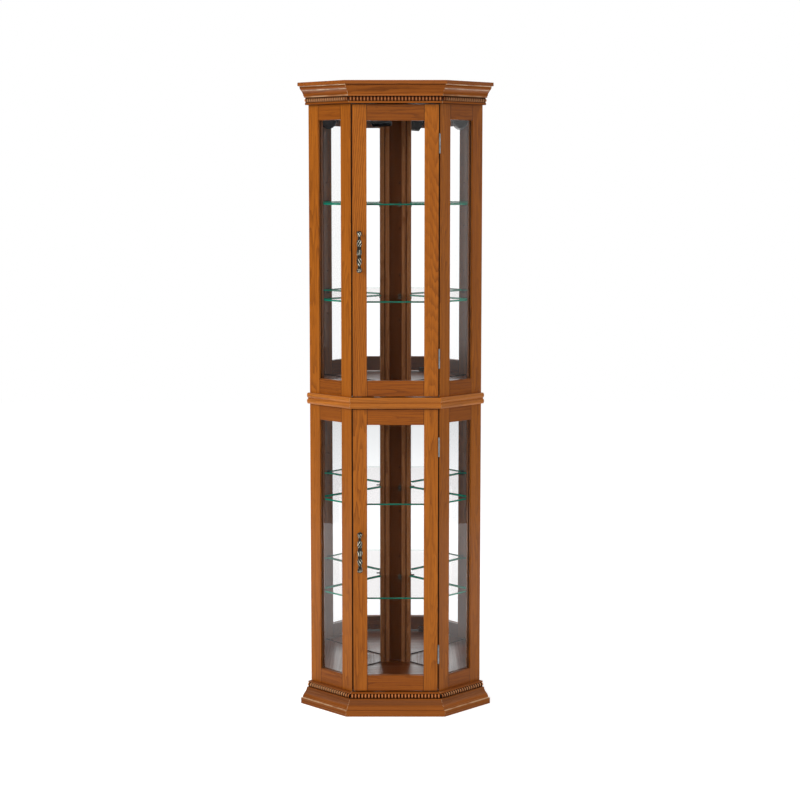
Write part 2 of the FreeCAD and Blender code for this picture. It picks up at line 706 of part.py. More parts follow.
def door_catch(bay_floor):
    """Magnet in its case on the bay floor, just behind the door."""
    x = catch_middle()
    half = CATCH_LENGTH / 2
    face = DOOR_BACK + STRIKE_PLATE + STRIKE_FIT
    case_front = face + CATCH_MAGNET
    case = block(x - half, x + half, case_front, case_front + CATCH_DEPTH,
                 bay_floor, bay_floor + CATCH_HEIGHT)
    low = bay_floor + DOOR_END_GAP + CATCH_LIFT
    magnet = block(x - half / 2, x + half / 2, face, case_front,
                   low, bay_floor + CATCH_HEIGHT - CATCH_LIFT)
    return case.fuse(magnet).removeSplitter()


def strike_plate(bay_floor):
    x = catch_middle()
    half = CATCH_LENGTH / 2
    low = bay_floor + DOOR_END_GAP + CATCH_LIFT
    return block(x - half, x + half, DOOR_BACK, DOOR_BACK + STRIKE_PLATE, low, low + STRIKE_HEIGHT)


def make_doors():
    frame_leaves = []
    for bay, floor in (("lower", LOWER), ("upper", UPPER)):
        export(bay + "_door_stiles", *door_stiles(floor))
        export(bay + "_door_rails", *door_rails(floor))
        export(bay + "_door_glass", door_glass(floor))
        export(bay + "_door_handle", door_handle(floor))
        export(bay + "_door_strike", strike_plate(floor))
        centres = hinge_centres(floor)
        export(bay + "_door_hinge_leaves", *[hinge_leaf(centre, True) for centre in centres])
        frame_leaves += [hinge_leaf(centre, False) for centre in centres]
    export("frame_hinge_leaves", *frame_leaves)
    export("door_catches", door_catch(LOWER), door_catch(UPPER))


# --- lamp -----------------------------------------------------------------------
def lamp_axis():
    return Vector(LAMP_X, LAMP_Y, CEILING - LAMP_DROP)


def tilted(shape):
    """Turns a lamp piece, made level, to the way it is set at rest."""
    turned = shape.copy()
    turned.rotate(lamp_axis(), Vector(0, 1, 0), -LAMP_TILT)
    return turned


def lamp_can():
    """Hooded can with a slanting mouth to the left; solid where the swivel enters it."""
    pivot = lamp_axis()
    to_mouth = Vector(-1, 0, 0)
    tail = pivot + Vector(LAMP_TAIL, 0, 0)
    can = rod(LAMP_RADIUS, tail, to_mouth, LAMP_TAIL + LAMP_REACH)
    can = can.makeFillet(LAMP_RADIUS / 4, [edge for edge in can.Edges
                                           if edge.BoundBox.XMin > tail.x - LAMP_WALL / 2])
    inside = rod(LAMP_RADIUS - LAMP_WALL, pivot + to_mouth * LAMP_SOCKET, to_mouth, LAMP_REACH)
    slope = math.tan(math.radians(LAMP_HOOD_SLOPE))
    lip = pivot + to_mouth * LAMP_REACH + Vector(0, 0, LAMP_RADIUS)
    wedge = [
        lip + Vector(0, -CLEAR, 0), lip + Vector(LAMP_RADIUS * 2 * slope, -CLEAR, -LAMP_RADIUS * 2),
        lip + Vector(0, -CLEAR, -LAMP_RADIUS * 2),
    ]
    mouth = Part.Face(Part.makePolygon(wedge + wedge[:1])).extrude(Vector(0, CLEAR * 2, 0))
    can = can.cut(inside).cut(mouth)
    for side in (-1, 1):
        end = pivot + Vector(0, side * LAMP_RADIUS, 0)
        depth = SWIVEL_LENGTH + HOLE_END_GAP
        inward = Vector(0, -side, 0)
        can = can.cut(rod(SWIVEL_RADIUS + HINGE_RUNNING_FIT, end, inward, depth))
    return tilted(can)


def lamp_lens():
    start = lamp_axis() - Vector(LENS_PLACE, 0, 0)
    lens = rod(LAMP_RADIUS - LAMP_WALL - LENS_FIT, start, Vector(-1, 0, 0), LENS)
    return tilted(lens)


def lamp_bracket():
    """Base on the ceiling with two ears whose pins carry the can."""
    pivot = lamp_axis()
    ear_face = LAMP_RADIUS + YOKE_GAP
    ear_back = ear_face + YOKE
    right = pivot.x + YOKE_WIDTH / 2
    bracket = block(right - LAMP_BASE_LENGTH, right, LAMP_Y - ear_back, LAMP_Y + ear_back,
                    CEILING - LAMP_BASE, CEILING)
    for side in (-1, 1):
        low, high = sorted((LAMP_Y + side * ear_face, LAMP_Y + side * ear_back))
        ear = block(pivot.x - YOKE_WIDTH / 2, right, low, high, pivot.z, CEILING)
        start = Vector(pivot.x, LAMP_Y + side * ear_back, pivot.z)
        inward = Vector(0, -side, 0)
        round_end = rod(YOKE_WIDTH / 2, start, inward, YOKE)
        pin = rod(SWIVEL_RADIUS, start, inward, YOKE + YOKE_GAP + SWIVEL_LENGTH)
        bracket = bracket.fuse([ear, round_end, pin])
    wires = rod(WIRE_HOLE, Vector(LAMP_X, LAMP_Y, CEILING - LAMP_BASE), Vector(0, 0, 1), LAMP_BASE)
    return bracket.cut(wires).removeSplitter()


def make_lamp():
    export("lamp_can", lamp_can())
    export("lamp_lens", lamp_lens())
    export("lamp_bracket", lamp_bracket())


make_boards()
make_mouldings()
make_sides()
make_shelves()
make_doors()
make_lamp()
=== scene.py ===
import math

import bpy
from mathutils import Matrix, Vector


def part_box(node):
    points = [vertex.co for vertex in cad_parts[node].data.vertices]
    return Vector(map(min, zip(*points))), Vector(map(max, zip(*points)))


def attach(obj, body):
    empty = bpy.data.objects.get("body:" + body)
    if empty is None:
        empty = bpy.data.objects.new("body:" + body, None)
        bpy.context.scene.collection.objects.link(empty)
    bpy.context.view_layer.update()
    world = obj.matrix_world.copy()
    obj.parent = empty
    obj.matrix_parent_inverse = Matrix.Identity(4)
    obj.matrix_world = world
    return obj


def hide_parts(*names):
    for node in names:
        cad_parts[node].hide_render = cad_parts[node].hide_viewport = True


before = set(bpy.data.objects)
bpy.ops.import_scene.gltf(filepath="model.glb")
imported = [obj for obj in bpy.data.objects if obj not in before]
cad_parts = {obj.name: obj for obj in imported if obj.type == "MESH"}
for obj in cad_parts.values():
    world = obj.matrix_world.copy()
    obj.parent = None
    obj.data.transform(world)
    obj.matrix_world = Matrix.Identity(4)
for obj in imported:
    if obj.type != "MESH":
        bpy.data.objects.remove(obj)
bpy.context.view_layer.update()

# ---- Boards ---------------------------------------------------------------------
# Five boards of stained oak, glued between the frames: the top that closes the crown,
# the ceiling, the two at the waist and the floor. Within the cabinet the floors shine.


class Shade:
    """One socket of a material. Sums on it add the Math nodes that they need."""

    def __init__(self, tree, socket=None):
        self.tree = tree
        self.socket = socket

    def node(self, kind, settings=None, inputs=None, out=0):
        """Adds a node: its settings first, then the values or links of its sockets."""
        made = self.tree.nodes.new(kind)
        for key, value in (settings or {}).items():
            if key == "stops":
                ramp = made.color_ramp
                ramp.elements[1].position = value[-1][0]
                for place, _ in value[1:-1]:
                    ramp.elements.new(place)
                for element, (place, colour) in zip(ramp.elements, value):
                    element.position = place
                    element.color = colour
            else:
                setattr(made, key, value)
        for key, value in (inputs or {}).items():
            if isinstance(value, Shade):
                self.tree.links.new(value.socket, made.inputs[key])
            else:
                made.inputs[key].default_value = value
        return Shade(self.tree, made.outputs[out])

    def other(self, out):
        return Shade(self.tree, self.socket.node.outputs[out])

    def math(self, operation, *values):
        return self.node("ShaderNodeMath", {"operation": operation}, dict(enumerate(values)))

    def __add__(self, value):
        return self.math("ADD", self, value)

    __radd__ = __add__

    def __sub__(self, value):
        return self.math("SUBTRACT", self, value)

    def __rsub__(self, value):
        return self.math("SUBTRACT", value, self)

    def __mul__(self, value):
        return self.math("MULTIPLY", self, value)

    __rmul__ = __mul__

    def __pow__(self, value):
        return self.math("POWER", self, value)

    def __abs__(self):
        return self.math("ABSOLUTE", self)

    def most(self, value):
        return self.math("MAXIMUM", self, value)

    def rise(self, low, high):
        """0 below low, 1 above high, and smooth between."""
        settings = {"interpolation_type": "SMOOTHSTEP"}
        return self.node("ShaderNodeMapRange", settings, {0: self, 1: low, 2: high})

    def mix(self, low, high):
        """A colour that goes from low to high as this value goes from 0 to 1."""
        settings = {"data_type": "RGBA"}
        return self.node("ShaderNodeMix", settings, {0: self, 6: low, 7: high}, out=2)


def tint(red, green, blue):
    """A colour as it looks on screen, from 0 to 255, for a shader."""
    def linear(level):
        level /= 255
        return level / 12.92 if level <= 0.04045 else ((level + 0.055) / 1.055) ** 2.4

    return linear(red), linear(green), linear(blue), 1.0


def new_finish(name):
    """An empty material, and the Shade that its nodes are made with."""
    material = bpy.data.materials.new(name)
    material.use_nodes = True
    material.node_tree.nodes.clear()
    return material, Shade(material.node_tree)


def axes(shade):
    """The place on the object, as its x, y and z."""
    x = shade.node("ShaderNodeTexCoord", out="Object")
    x = x.node("ShaderNodeSeparateXYZ", None, {0: x})
    return x, x.other(1), x.other(2)


def close(shade, shader, kind="ShaderNodeOutputMaterial"):
    """Links the last shader to the output."""
    output = shade.tree.nodes.new(kind)
    shade.tree.links.new(shader.socket, output.inputs["Surface"])


def noise(across, deep, length, scales, detail=2.0, roughness=0.5):
    """Noise stretched differently over the three directions of a piece of timber."""
    place = across.node("ShaderNodeCombineXYZ", None, {
        0: across * scales[0], 1: deep * scales[1], 2: length * scales[2],
    })
    inputs = {"Vector": place, "Scale": 1.0, "Detail": detail, "Roughness": roughness}
    return across.node("ShaderNodeTexNoise", None, inputs)


def surface(shade, colour, roughness, height=None, depth=0.0, constants=None):
    """One Principled shader and the output, with a bump where height is given."""
    inputs = {"Base Color": colour, "Roughness": roughness}
    inputs.update(constants or {})
    if height is not None:
        inputs["Normal"] = shade.node("ShaderNodeBump", None, {
            "Strength": 1.0, "Distance": depth, "Height": height,
        })
    close(shade, shade.node("ShaderNodeBsdfPrincipled", None, inputs))


HONEY = (tint(176, 100, 24), tint(146, 77, 14), tint(78, 34, 6))
SATIN = {"Specular IOR Level": 0.16, "Coat Weight": 0.05, "Coat Roughness": 0.08}


def oak(name, grain, turn=0.0, tones=HONEY, heart=None, polish=0.36, shine=SATIN, stain_and_shading=None,
        coat=None, rings=70, sway=14):
    """Stained, lacquered oak: rings, open pores and streaks. The grain runs up, along
    the face or flat; turn brings the face's own direction onto x. A board sawn near the
    heart shows arches: heart gives its place across and behind, and its lean."""
    material, shade = new_finish(name)
    place = shade.node("ShaderNodeTexCoord", out="Object")
    facing = {"Vector": place, "Rotation": (0, 0, math.radians(turn))}
    x = shade.node("ShaderNodeMapping", None, facing)
    x = x.node("ShaderNodeSeparateXYZ", None, {0: x})
    y, z = x.other(1), x.other(2)
    across, deep, length = {"up": (x, y, z), "along": (z, y, x), "flat": (y, z, x)}[grain]
    wander = noise(across, deep, length, (24, 24, 1.9), 1.0)
    ripple = noise(across, deep, length, (130, 130, 16), 1.0)
    if heart is None:
        ring = across * rings + deep * (rings * 0.86) + wander * sway
    else:
        side = across - heart[0] + wander * 0.03
        back = deep - heart[1] + length * heart[2]
        ring = (side * side + back * back) ** 0.5 * 210 + wander * 5
    ring = ring + ripple * 1.3
    early = 1 - ring.math("FRACT", ring).rise(0.0, 0.75)
    strength = noise(across, deep, length, (21, 21, 3.1), 1.0).rise(0.3, 0.66)
    early = early * (0.3 + strength * 0.7)
    pores = noise(across, deep, length, (1500, 1500, 55), 1.0).rise(0.58, 0.70)
    pores = pores * (early * 0.75 + 0.25)
    streak = noise(across, deep, length, (330, 330, 3.2), 4.0, 0.7).rise(0.32, 0.68)
    cloud = noise(across, deep, length, (8, 8, 1.3), 2.0).rise(0.3, 0.7)
    light, body, dark = tones
    wood = (cloud * 0.35 + streak * 0.65).mix(body, light)
    wood = (early * (0.38 if heart is None else 0.5)).mix(wood, dark)
    wood = (pores * 0.6).mix(wood, dark)
    # This callback brings real stains and joint lines, and also painted shade and painted
    # highlights.
    if stain_and_shading is not None:
        wood = stain_and_shading(wood, x, y, z)
    if coat is not None:
        shine = {**shine, "Coat Weight": coat(x, y, z)}
    roughness = polish + pores * 0.25 + streak * 0.06
    relief = 1 - pores * 0.8 - early * 0.2
    surface(shade, wood, roughness, relief, 0.00012, shine)
    return material


def eased(node, body, wood, ease=0.0006, run=None, flat=False):
    """A copy of a packed timber piece with its long arrises rounded over. Where run is
    given, only the edges in that direction are."""
    bpy.ops.object.select_all(action="DESELECT")
    piece = bpy.data.objects.new(node + "_eased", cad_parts[node].data.copy())
    bpy.context.scene.collection.objects.link(piece)
    piece.select_set(True)
    bpy.context.view_layer.objects.active = piece
    bpy.ops.object.mode_set(mode="EDIT")
    bpy.ops.mesh.select_mode(type="EDGE")
    bpy.ops.mesh.select_all(action="SELECT")
    bpy.ops.mesh.remove_doubles(threshold=0.00002)
    bpy.ops.mesh.dissolve_limited(angle_limit=math.radians(1))
    bpy.ops.mesh.select_all(action="DESELECT")
    bpy.ops.mesh.edges_select_sharp(sharpness=math.radians(30))
    bpy.ops.object.mode_set(mode="OBJECT")
    for edge in piece.data.edges:
        start, end = (piece.data.vertices[index].co for index in edge.vertices)
        way = end - start
        short = way.length < ease * 8
        astray = run is not None and abs(way.normalized().dot(run)) < 0.95
        if edge.select and (short or astray):
            edge.select = False
    bpy.ops.object.mode_set(mode="EDIT")
    bpy.ops.mesh.bevel(offset=ease, segments=2, clamp_overlap=False)
    bpy.ops.object.mode_set(mode="OBJECT")
    if flat:
        bpy.ops.object.shade_flat()
    else:
        bpy.ops.object.shade_smooth_by_angle(angle=math.radians(35))
        modifier = piece.modifiers.new("even", "WEIGHTED_NORMAL")
        modifier.keep_sharp = True
        bpy.ops.object.modifier_apply(modifier="even")
    piece.data.materials.clear()
    piece.data.materials.append(wood)
    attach(piece, body)
    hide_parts(node)
    return piece


BOARD_EDGE = 0.0008
RUSSET = (tint(118, 58, 16), tint(94, 42, 10), tint(46, 18, 4))
UMBER = (tint(164, 91, 30), tint(137, 72, 22), tint(68, 31, 10))
SOFT_FILM = {"Specular IOR Level": 0.3, "Coat Roughness": 0.28, "Coat IOR": 1.8}
HARD_FILM = {"Specular IOR Level": 0.3, "Coat Roughness": 0.34, "Coat IOR": 2.2}
BOARD_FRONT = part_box("floor_board")[0].y
# The strips along the boards' front edges are painted dark as shade in the gaps at the doors and
# under the crown.
DOOR_STRIP, CEILING_STRIP = 0.021, 0.060


def board_oak(name, gloss, strip, shine):
    """A board that is glossy behind the door and painted dark on the strip at the door, as shade
    in the gap.
    """
    def within(y):
        return (y - BOARD_FRONT).rise(strip, strip + 0.002)

    def polished(x, y, z):
        film = noise(x, y, z, (3, 240, 240), 3.0, 0.6).rise(0.38, 0.6) * 0.6 + 0.4
        return within(y) * film * gloss

    def paint_shading(wood, x, y, z):
        # Painted shade: dark along the strip at the front edge.
        return within(y).mix(tint(34, 15, 6), wood)

    return oak(name, "flat", tones=RUSSET, polish=0.3, shine=shine, stain_and_shading=paint_shading, coat=polished)


floor_wood = board_oak("floor_oak", 1.0, DOOR_STRIP, SOFT_FILM)
upper_floor_wood = board_oak("upper_floor_oak", 1.0, DOOR_STRIP, HARD_FILM)
ceiling_wood = board_oak("ceiling_oak", 0.0, CEILING_STRIP, {"Specular IOR Level": 0.02})
for board, wood in (
    ("floor_board", floor_wood), ("upper_floor_board", upper_floor_wood),
    ("lower_ceiling_board", ceiling_wood), ("ceiling_board", ceiling_wood),
    ("top_board", oak("top_oak", "flat", tones=UMBER)),
):
    eased(board, "cabinet", wood, BOARD_EDGE)

# ---- Plinth rails ---------------------------------------------------------------
# Two rails of plain oak close the plinth at the back. They stand behind the panels'
# inner face, sawn and left unpolished.
rail_wood = oak("plinth_rail_oak", "along", 45.0, polish=0.6)
eased("plinth_back_rails", "cabinet", rail_wood)

# ---- Back panels ----------------------------------------------------------------
# Two full-height sheets of brown hardboard, let in behind the frames and pinned every
# 15 cm. Their fibres show as a fine fleck.


def hardboard():
    """Brown and clouded, with matted fibres and dark flecks."""
    material, shade = new_finish("hardboard")
    x, y, z = axes(shade)
    fleck = noise(x, y, z, (620, 620, 480), 4.0, 0.7)
    cloud = noise(x, y, z, (9, 9, 5), 4.0, 0.6).rise(0.3, 0.7)
    fibre = noise(x, y, z, (150, 150, 110), 3.0, 0.7).rise(0.35, 0.7)
    brown = cloud.mix(tint(100, 66, 38), tint(120, 82, 50))
    brown = (fibre * 0.4).mix(brown, tint(78, 50, 28))
    brown = (fleck.rise(0.5, 0.72) * 0.5).mix(brown, tint(66, 42, 24))
    surface(shade, brown, 0.62 + fleck * 0.2, fleck, 0.0001)
    return material


def even_finish(name, low, high, roughness, metallic=1.0):
    """Metal with fine wear and a faint cloud or, with metallic at 0, a moulded piece."""
    material, shade = new_finish(name)
    x, y, z = axes(shade)
    wear = noise(x, y, z, (400, 400, 400), 4.0, 0.6)
    cloud = noise(x, y, z, (60, 60, 60), 2.0)
    colour = (wear * 0.6 + cloud * 0.4).rise(0.3, 0.7).mix(low, high)
    constants = {"Metallic": metallic, "Specular IOR Level": 0.5 if metallic else 0.15}
    surface(shade, colour, roughness + wear * 0.18, wear, 0.00003, constants)
    return material


def turned(outline, sides):
    """A closed turning on the z axis. The outline is (height, radius), from the foot up."""
    bpy.ops.object.select_all(action="DESELECT")
    height, radius = outline[0]
    bpy.ops.mesh.primitive_circle_add(vertices=sides, radius=radius, fill_type="NGON")
    piece = bpy.context.object
    bpy.ops.object.mode_set(mode="EDIT")
    bpy.ops.mesh.select_all(action="SELECT")
    for next_height, next_radius in outline[1:]:
        rise = {"value": (0, 0, next_height - height)}
        bpy.ops.mesh.extrude_region_move(TRANSFORM_OT_translate=rise)
        ratio = next_radius / radius
        bpy.ops.transform.resize(value=(ratio, ratio, 1), center_override=(0, 0, 0))
        height, radius = next_height, next_radius
    bpy.ops.mesh.select_all(action="SELECT")
    bpy.ops.mesh.normals_make_consistent(inside=False)
    bpy.ops.object.mode_set(mode="OBJECT")
    piece.data.transform(Matrix.Translation((0, 0, outline[0][0])))
    return piece


def joined(name, model, places, body, finish):
    """Copies of one small piece, set by the given matrices and joined as one mesh."""
    bpy.ops.object.select_all(action="DESELECT")
    for place in places:
        copy = bpy.data.objects.new(name, model.copy())
        copy.data.transform(place)
        bpy.context.scene.collection.objects.link(copy)
        copy.select_set(True)
    bpy.context.view_layer.objects.active = copy
    bpy.ops.object.join()
    bpy.ops.object.shade_smooth_by_angle(angle=math.radians(40))
    copy.data.materials.clear()
    copy.data.materials.append(finish)
    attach(copy, body)


# A panel's two ends in plan, then its pins: their heights, and their shares of its width.
PANEL_END, PANEL_CORNER = (0.231481, -0.028056, 0), Vector((0, 0.203425, 0))
LOWEST_PIN, WAIST_PIN, TOP_PIN, PIN_STEP = 0.052, 0.878, 1.7185, 0.1515
EDGE_PINS, MIDDLE_PINS = (0.025, 0.975), (0.215, 0.405, 0.595, 0.785)
PIN = [(-0.0008, 0.0010), (0.0, 0.0017), (0.0003, 0.0013), (0.0004, 0.0006)]
backing = hardboard()
pin_head = turned(PIN, 10)
pin_steel = even_finish("pin_steel", tint(120, 112, 96), tint(176, 166, 146), 0.35)
for side, way in (("left", -1), ("right", 1)):
    eased(side + "_back_panel", "cabinet", backing, ease=0.0003)
    end = Vector(PANEL_END) * Vector((way, 1, 1))
    spots = [(share, LOWEST_PIN + PIN_STEP * step) for share in EDGE_PINS for step in range(12)]
    spots += [(share, height) for share in MIDDLE_PINS
              for height in (LOWEST_PIN, WAIST_PIN, TOP_PIN)]
    facing = Vector((way, 1, 0)).to_track_quat("Z", "Y").to_matrix().to_4x4()
    points = [end.lerp(PANEL_CORNER, share) + Vector((0, 0, height)) for share, height in spots]
    places = [Matrix.Translation(point) @ facing for point in points]
    joined(side + "_panel_pins", pin_head.data, places, "cabinet", pin_steel)
bpy.data.objects.remove(pin_head)

# ---- Mirrors --------------------------------------------------------------------
# Four sheets of float glass, silvered and painted grey behind, from each bay's floor to
# just under its ceiling. They meet at a right angle behind the corner post.
BAYS = ("lower", "upper")
# The painted shade line along a sheet's foot, in the crease at the floor, ends over this stretch
# of its height.
FOOT_SHADE_LINE = (0.0024, 0.0032)


def silvering():
    """Bright all over, with a faint painted glow, but for a painted shade line along the foot of
    each sheet.
    """
    material, shade = new_finish("silvering")
    x, y, z = axes(shade)
    haze = noise(x, y, z, (7, 7, 5), 2.0)
    colour = haze.mix(tint(255, 255, 255), tint(253, 254, 254))
    for bay in BAYS:
        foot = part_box(bay + "_left_mirror")[0].z
        # Painted shade: a dark line along each sheet's foot.
        colour = abs(z - foot).rise(*FOOT_SHADE_LINE).mix(tint(22, 22, 22), colour)
    # A faint white emission: a painted glow, since the silvering is no lamp.
    surface(shade, colour, haze * 0.004, constants={
        "Metallic": 1.0, "Emission Color": (1, 1, 1, 1), "Emission Strength": 0.008,
    })
    return material


def mirror_paint():
    """The grey paint that guards the silvering, with a fine grain."""
    material, shade = new_finish("mirror_paint")
    grain = noise(*axes(shade), (300, 300, 300), 3.0)
    surface(shade, grain.mix(tint(86, 90, 92), tint(104, 108, 110)), 0.5 + grain * 0.2)
    return material


# A thin sheet pinned at its edges bows a little: its lean in degrees at the corner, and
# what it loses over each metre across.
LEAN, LEAN_LOSS = 1.2, 8.2
silver, grey_paint = silvering(), mirror_paint()
for bay in BAYS:
    for side, way in (("left", 1), ("right", -1)):
        node = f"{bay}_{side}_mirror"
        sheet = eased(node, "cabinet", silver, 0.0004, flat=True)
        sheet.data.materials.append(grey_paint)
        room = Vector((way, -1, 0)).normalized()
        leans = []
        for face in sheet.data.polygons:
            silvered = face.normal.dot(room) > 0.5
            face.material_index = 0 if silvered else 1
            for index in face.vertices:
                bow = LEAN - LEAN_LOSS * abs(sheet.data.vertices[index].co.x)
                turn = Matrix.Rotation(math.radians(bow * way), 3, "Z")
                leans.append(turn @ face.normal if silvered else face.normal)
        sheet.data.normals_split_custom_set(leans)

# ---- Crown, waist and plinth ----------------------------------------------------
# Oak mouldings run by cutter and mitred at the two front corners: crown and plinth each
# have a channel for a string of beads, and the waist is a double band.
UP = Vector((0, 0, 1))
RUNS = (("front", 0.0, Vector((1, 0, 0))),
        ("left", 45.0, Vector((-1, 1, 0)).normalized()),
        ("right", -45.0, Vector((1, 1, 0)).normalized()))
WAXED = {"Specular IOR Level": 0.05, "Coat Weight": 0.06, "Coat Roughness": 0.06}
AMBER = (tint(196, 118, 44), tint(166, 94, 30), tint(88, 42, 12))
# A darker copy of the umber: painted shade for the left runs.
SHADED_UMBER = (tint(148, 80, 24), tint(122, 62, 17), tint(60, 26, 8))
# The colours of a painted highlight, of painted shade, and of painted light on the front run.
PAINTED_HIGHLIGHT, PAINTED_SHADE, PAINTED_LIGHT = tint(232, 198, 156), tint(26, 11, 4), tint(214, 130, 66)
# How far the frames' outer faces stand from the axis, and half the front's width.
FRONT_FACE, SIDE_FACE, FRONT_HALF = 0.162425, 0.28499 / math.sqrt(2), 0.122567
# The depth and half the height of a bead channel, then the steps and curve of the plinth,
# by their heights and the curve's depth, and those of the crown.
CHANNEL_FLOOR, CHANNEL_HALF = 0.011, 0.0068
TOE_TOP, OGEE_FOOT, OGEE_TOP, OGEE_FACE = 0.0170, 0.026, 0.041, 0.034
CROWN_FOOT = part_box("crown_front")[0].z
LIP, STEP, CREST = CROWN_FOOT + 0.0222, CROWN_FOOT + 0.039, CROWN_FOOT + 0.050


def mid_height(node):
    return (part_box(node)[0].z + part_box(node)[1].z) / 2


CROWN_BEADS, PLINTH_BEADS = mid_height("crown_beads"), mid_height("plinth_beads")


def near(value, middle, half_width, soft):
    """1 within half_width of the middle, falling to 0 over the soft width beyond."""
    return 1 - abs(value - middle).rise(half_width, half_width + soft)


def mitre_highlight(side, face, x, y, z):
    """A painted highlight in spots along the mitre at the end of a side run."""
    hand = 1 if side == "left" else -1
    edge = (FRONT_HALF - FRONT_FACE) / math.sqrt(2)
    lean = math.radians(22.5)
    off = (x * hand + edge) * math.cos(lean) + (y + face) * math.sin(lean)
    return near(off, 0.0, 0.0006, 0.0004) * noise(x, y, z, (10, 10, 420), 1.0).rise(0.4, 0.55)


def run_shade_and_highlights(side, face):
    """Painted shade in the bead channels, along the crown's foot, in the plinth's hollow and on
    the front's crest and ledge. Painted light on the front's lip and toe, and painted highlights
    on the side runs' arrises and mitres.
    """
    def paint_shading(wood, x, y, z):
        # Painted shade on the channel floors behind the beads.
        sunk = (y + face + CHANNEL_FLOOR).rise(-0.0010, -0.0004)
        for line in (CROWN_BEADS, PLINTH_BEADS):
            wood = (sunk * near(z, line, CHANNEL_HALF, 0.0003) * 0.95).mix(wood, PAINTED_SHADE)
        ledge = near(z, TOE_TOP, 0.0003, 0.0006)
        ledge = ledge * (1 - (y + face + OGEE_FACE).rise(0.0, 0.001))
        crest, step = near(z, CREST, 0.0008, 0.0005), near(z, STEP, 0.0008, 0.0005)
        lip = near(z, LIP, 0.0014, 0.0006)
        # Painted shade along the crown's foot, over the gap at the door.
        wood = near(z, CROWN_FOOT, 0.0004, 0.0002).mix(wood, PAINTED_SHADE)
        # Greyish painted shade in the plinth's ogee hollow.
        hollow = z.rise(OGEE_FOOT, OGEE_FOOT + 0.005) * (1 - z.rise(OGEE_TOP, OGEE_TOP + 0.002))
        wood = (hollow * 0.32).mix(wood, tint(84, 62, 50))
        if side == "front":
            # Front run: painted shade under the ledge and on the crest, painted light on the toe
            # and the lip.
            wood = (ledge * 0.25).mix(wood, PAINTED_SHADE)
            foot = 1 - z.rise(OGEE_FOOT - 0.002, OGEE_FOOT + 0.001)
            wood = (foot * 0.12).mix(wood, PAINTED_LIGHT)
            wood = (lip * 0.38).mix(wood, PAINTED_LIGHT)
            return (crest * 0.7).mix(wood, PAINTED_SHADE)
        # Side runs: painted highlights on ledge, crest, step, lip and mitre, and pale streaks of
        # painted sheen on the plinth.
        patch = noise(x, y, z, (26, 26, 26), 2.0).rise(0.35, 0.6) * 0.4 + 0.2
        lines = (ledge + crest * 1.5 + step * 1.3 + lip * 0.7) * patch
        streak = noise(x, y, z, (5, 700, 700), 3.0, 0.6).rise(0.56, 0.7) * 0.2
        streak = streak * (1 - z.rise(0.06, 0.07))
        highlight_share = lines.most(streak).most(mitre_highlight(side, face, x, y, z) * 0.7)
        return highlight_share.math("MINIMUM", highlight_share, 0.8).mix(wood, PAINTED_HIGHLIGHT)

    return paint_shading


def mitre_end_highlight(side):
    """The waist carries a painted highlight only at the mitres of its side runs."""
    def highlighted(wood, x, y, z):
        return (mitre_highlight(side, SIDE_FACE, x, y, z) * 0.5).mix(wood, PAINTED_HIGHLIGHT)

    return None if side == "front" else highlighted


for side, turn, way in RUNS:
    stain_and_shading = run_shade_and_highlights(side, FRONT_FACE if side == "front" else SIDE_FACE)
    # The left runs take the darker copy as painted shade.
    tones = SHADED_UMBER if side == "left" else UMBER
    straight = oak(side + "_moulding_oak", "along", turn, tones, shine=WAXED, stain_and_shading=stain_and_shading,
                   rings=200, sway=3)
    figured = oak(side + "_waist_oak", "along", turn, AMBER, stain_and_shading=mitre_end_highlight(side),
                  rings=120, sway=9)
    for course, wood in (("crown", straight), ("waist", figured), ("plinth", straight)):
        eased(f"{course}_{side}", "cabinet", wood, 0.0004, way)

# ---- Bead strings ---------------------------------------------------------------
# Turned half-round beads, glued into the channels of crown and plinth. The necks between them are
# painted dark as shade, and the crests carry a painted highlight.
# Over these two stretches the front gives way to a side, and the plinth to the crown.
PAST_MITRE, PAST_WAIST = (0.139, 0.142), (1.0, 1.1)


def bead_oak():
    """The crown's front string is painted softer and darker than the others. A painted shadow
    lies under the crown's fillet and along the plinth string's foot.
    """
    material, shade = new_finish("bead_oak")
    x, y, z = axes(shade)
    crest = shade.node("ShaderNodeAttribute", {"attribute_name": "crest"}, out="Fac")
    fleck = noise(x, y, z, (900, 900, 900), 2.0)
    side = abs(x).rise(*PAST_MITRE)
    crown = z.rise(*PAST_WAIST)
    soft = crown * (1 - side)
    wood = fleck.rise(0.35, 0.7).mix(tint(158, 80, 26), tint(196, 106, 38))
    # Painted shade darkens the crown's front string.
    wood = (soft * 0.6).mix(wood, tint(112, 58, 24))
    # Painted shade in the necks between the beads.
    wood = crest.rise(0.56, 0.94).mix(soft.mix(tint(6, 3, 2), tint(68, 32, 14)), wood)
    # A painted highlight on the crests, stronger on the side runs.
    bright = crest.rise(0.93 - side * 0.06, 1.0) * (0.4 + side * 0.5 - soft * 0.1)
    wood = bright.mix(wood, tint(244, 184, 132))
    # Painted shadow along the top of the crown's strings and the foot of the plinth's.
    up = z - (crown * (CROWN_BEADS - PLINTH_BEADS) + PLINTH_BEADS)
    shaded = up.rise(0.0012, 0.0044) * crown + (0 - up).rise(0.0022, 0.0048) * (1 - crown)
    wood = (shaded * 0.65).mix(wood, PAINTED_SHADE)
    surface(shade, wood, 0.3 + fleck * 0.1, fleck, 0.00006, {"Specular IOR Level": 0.06})
    return material


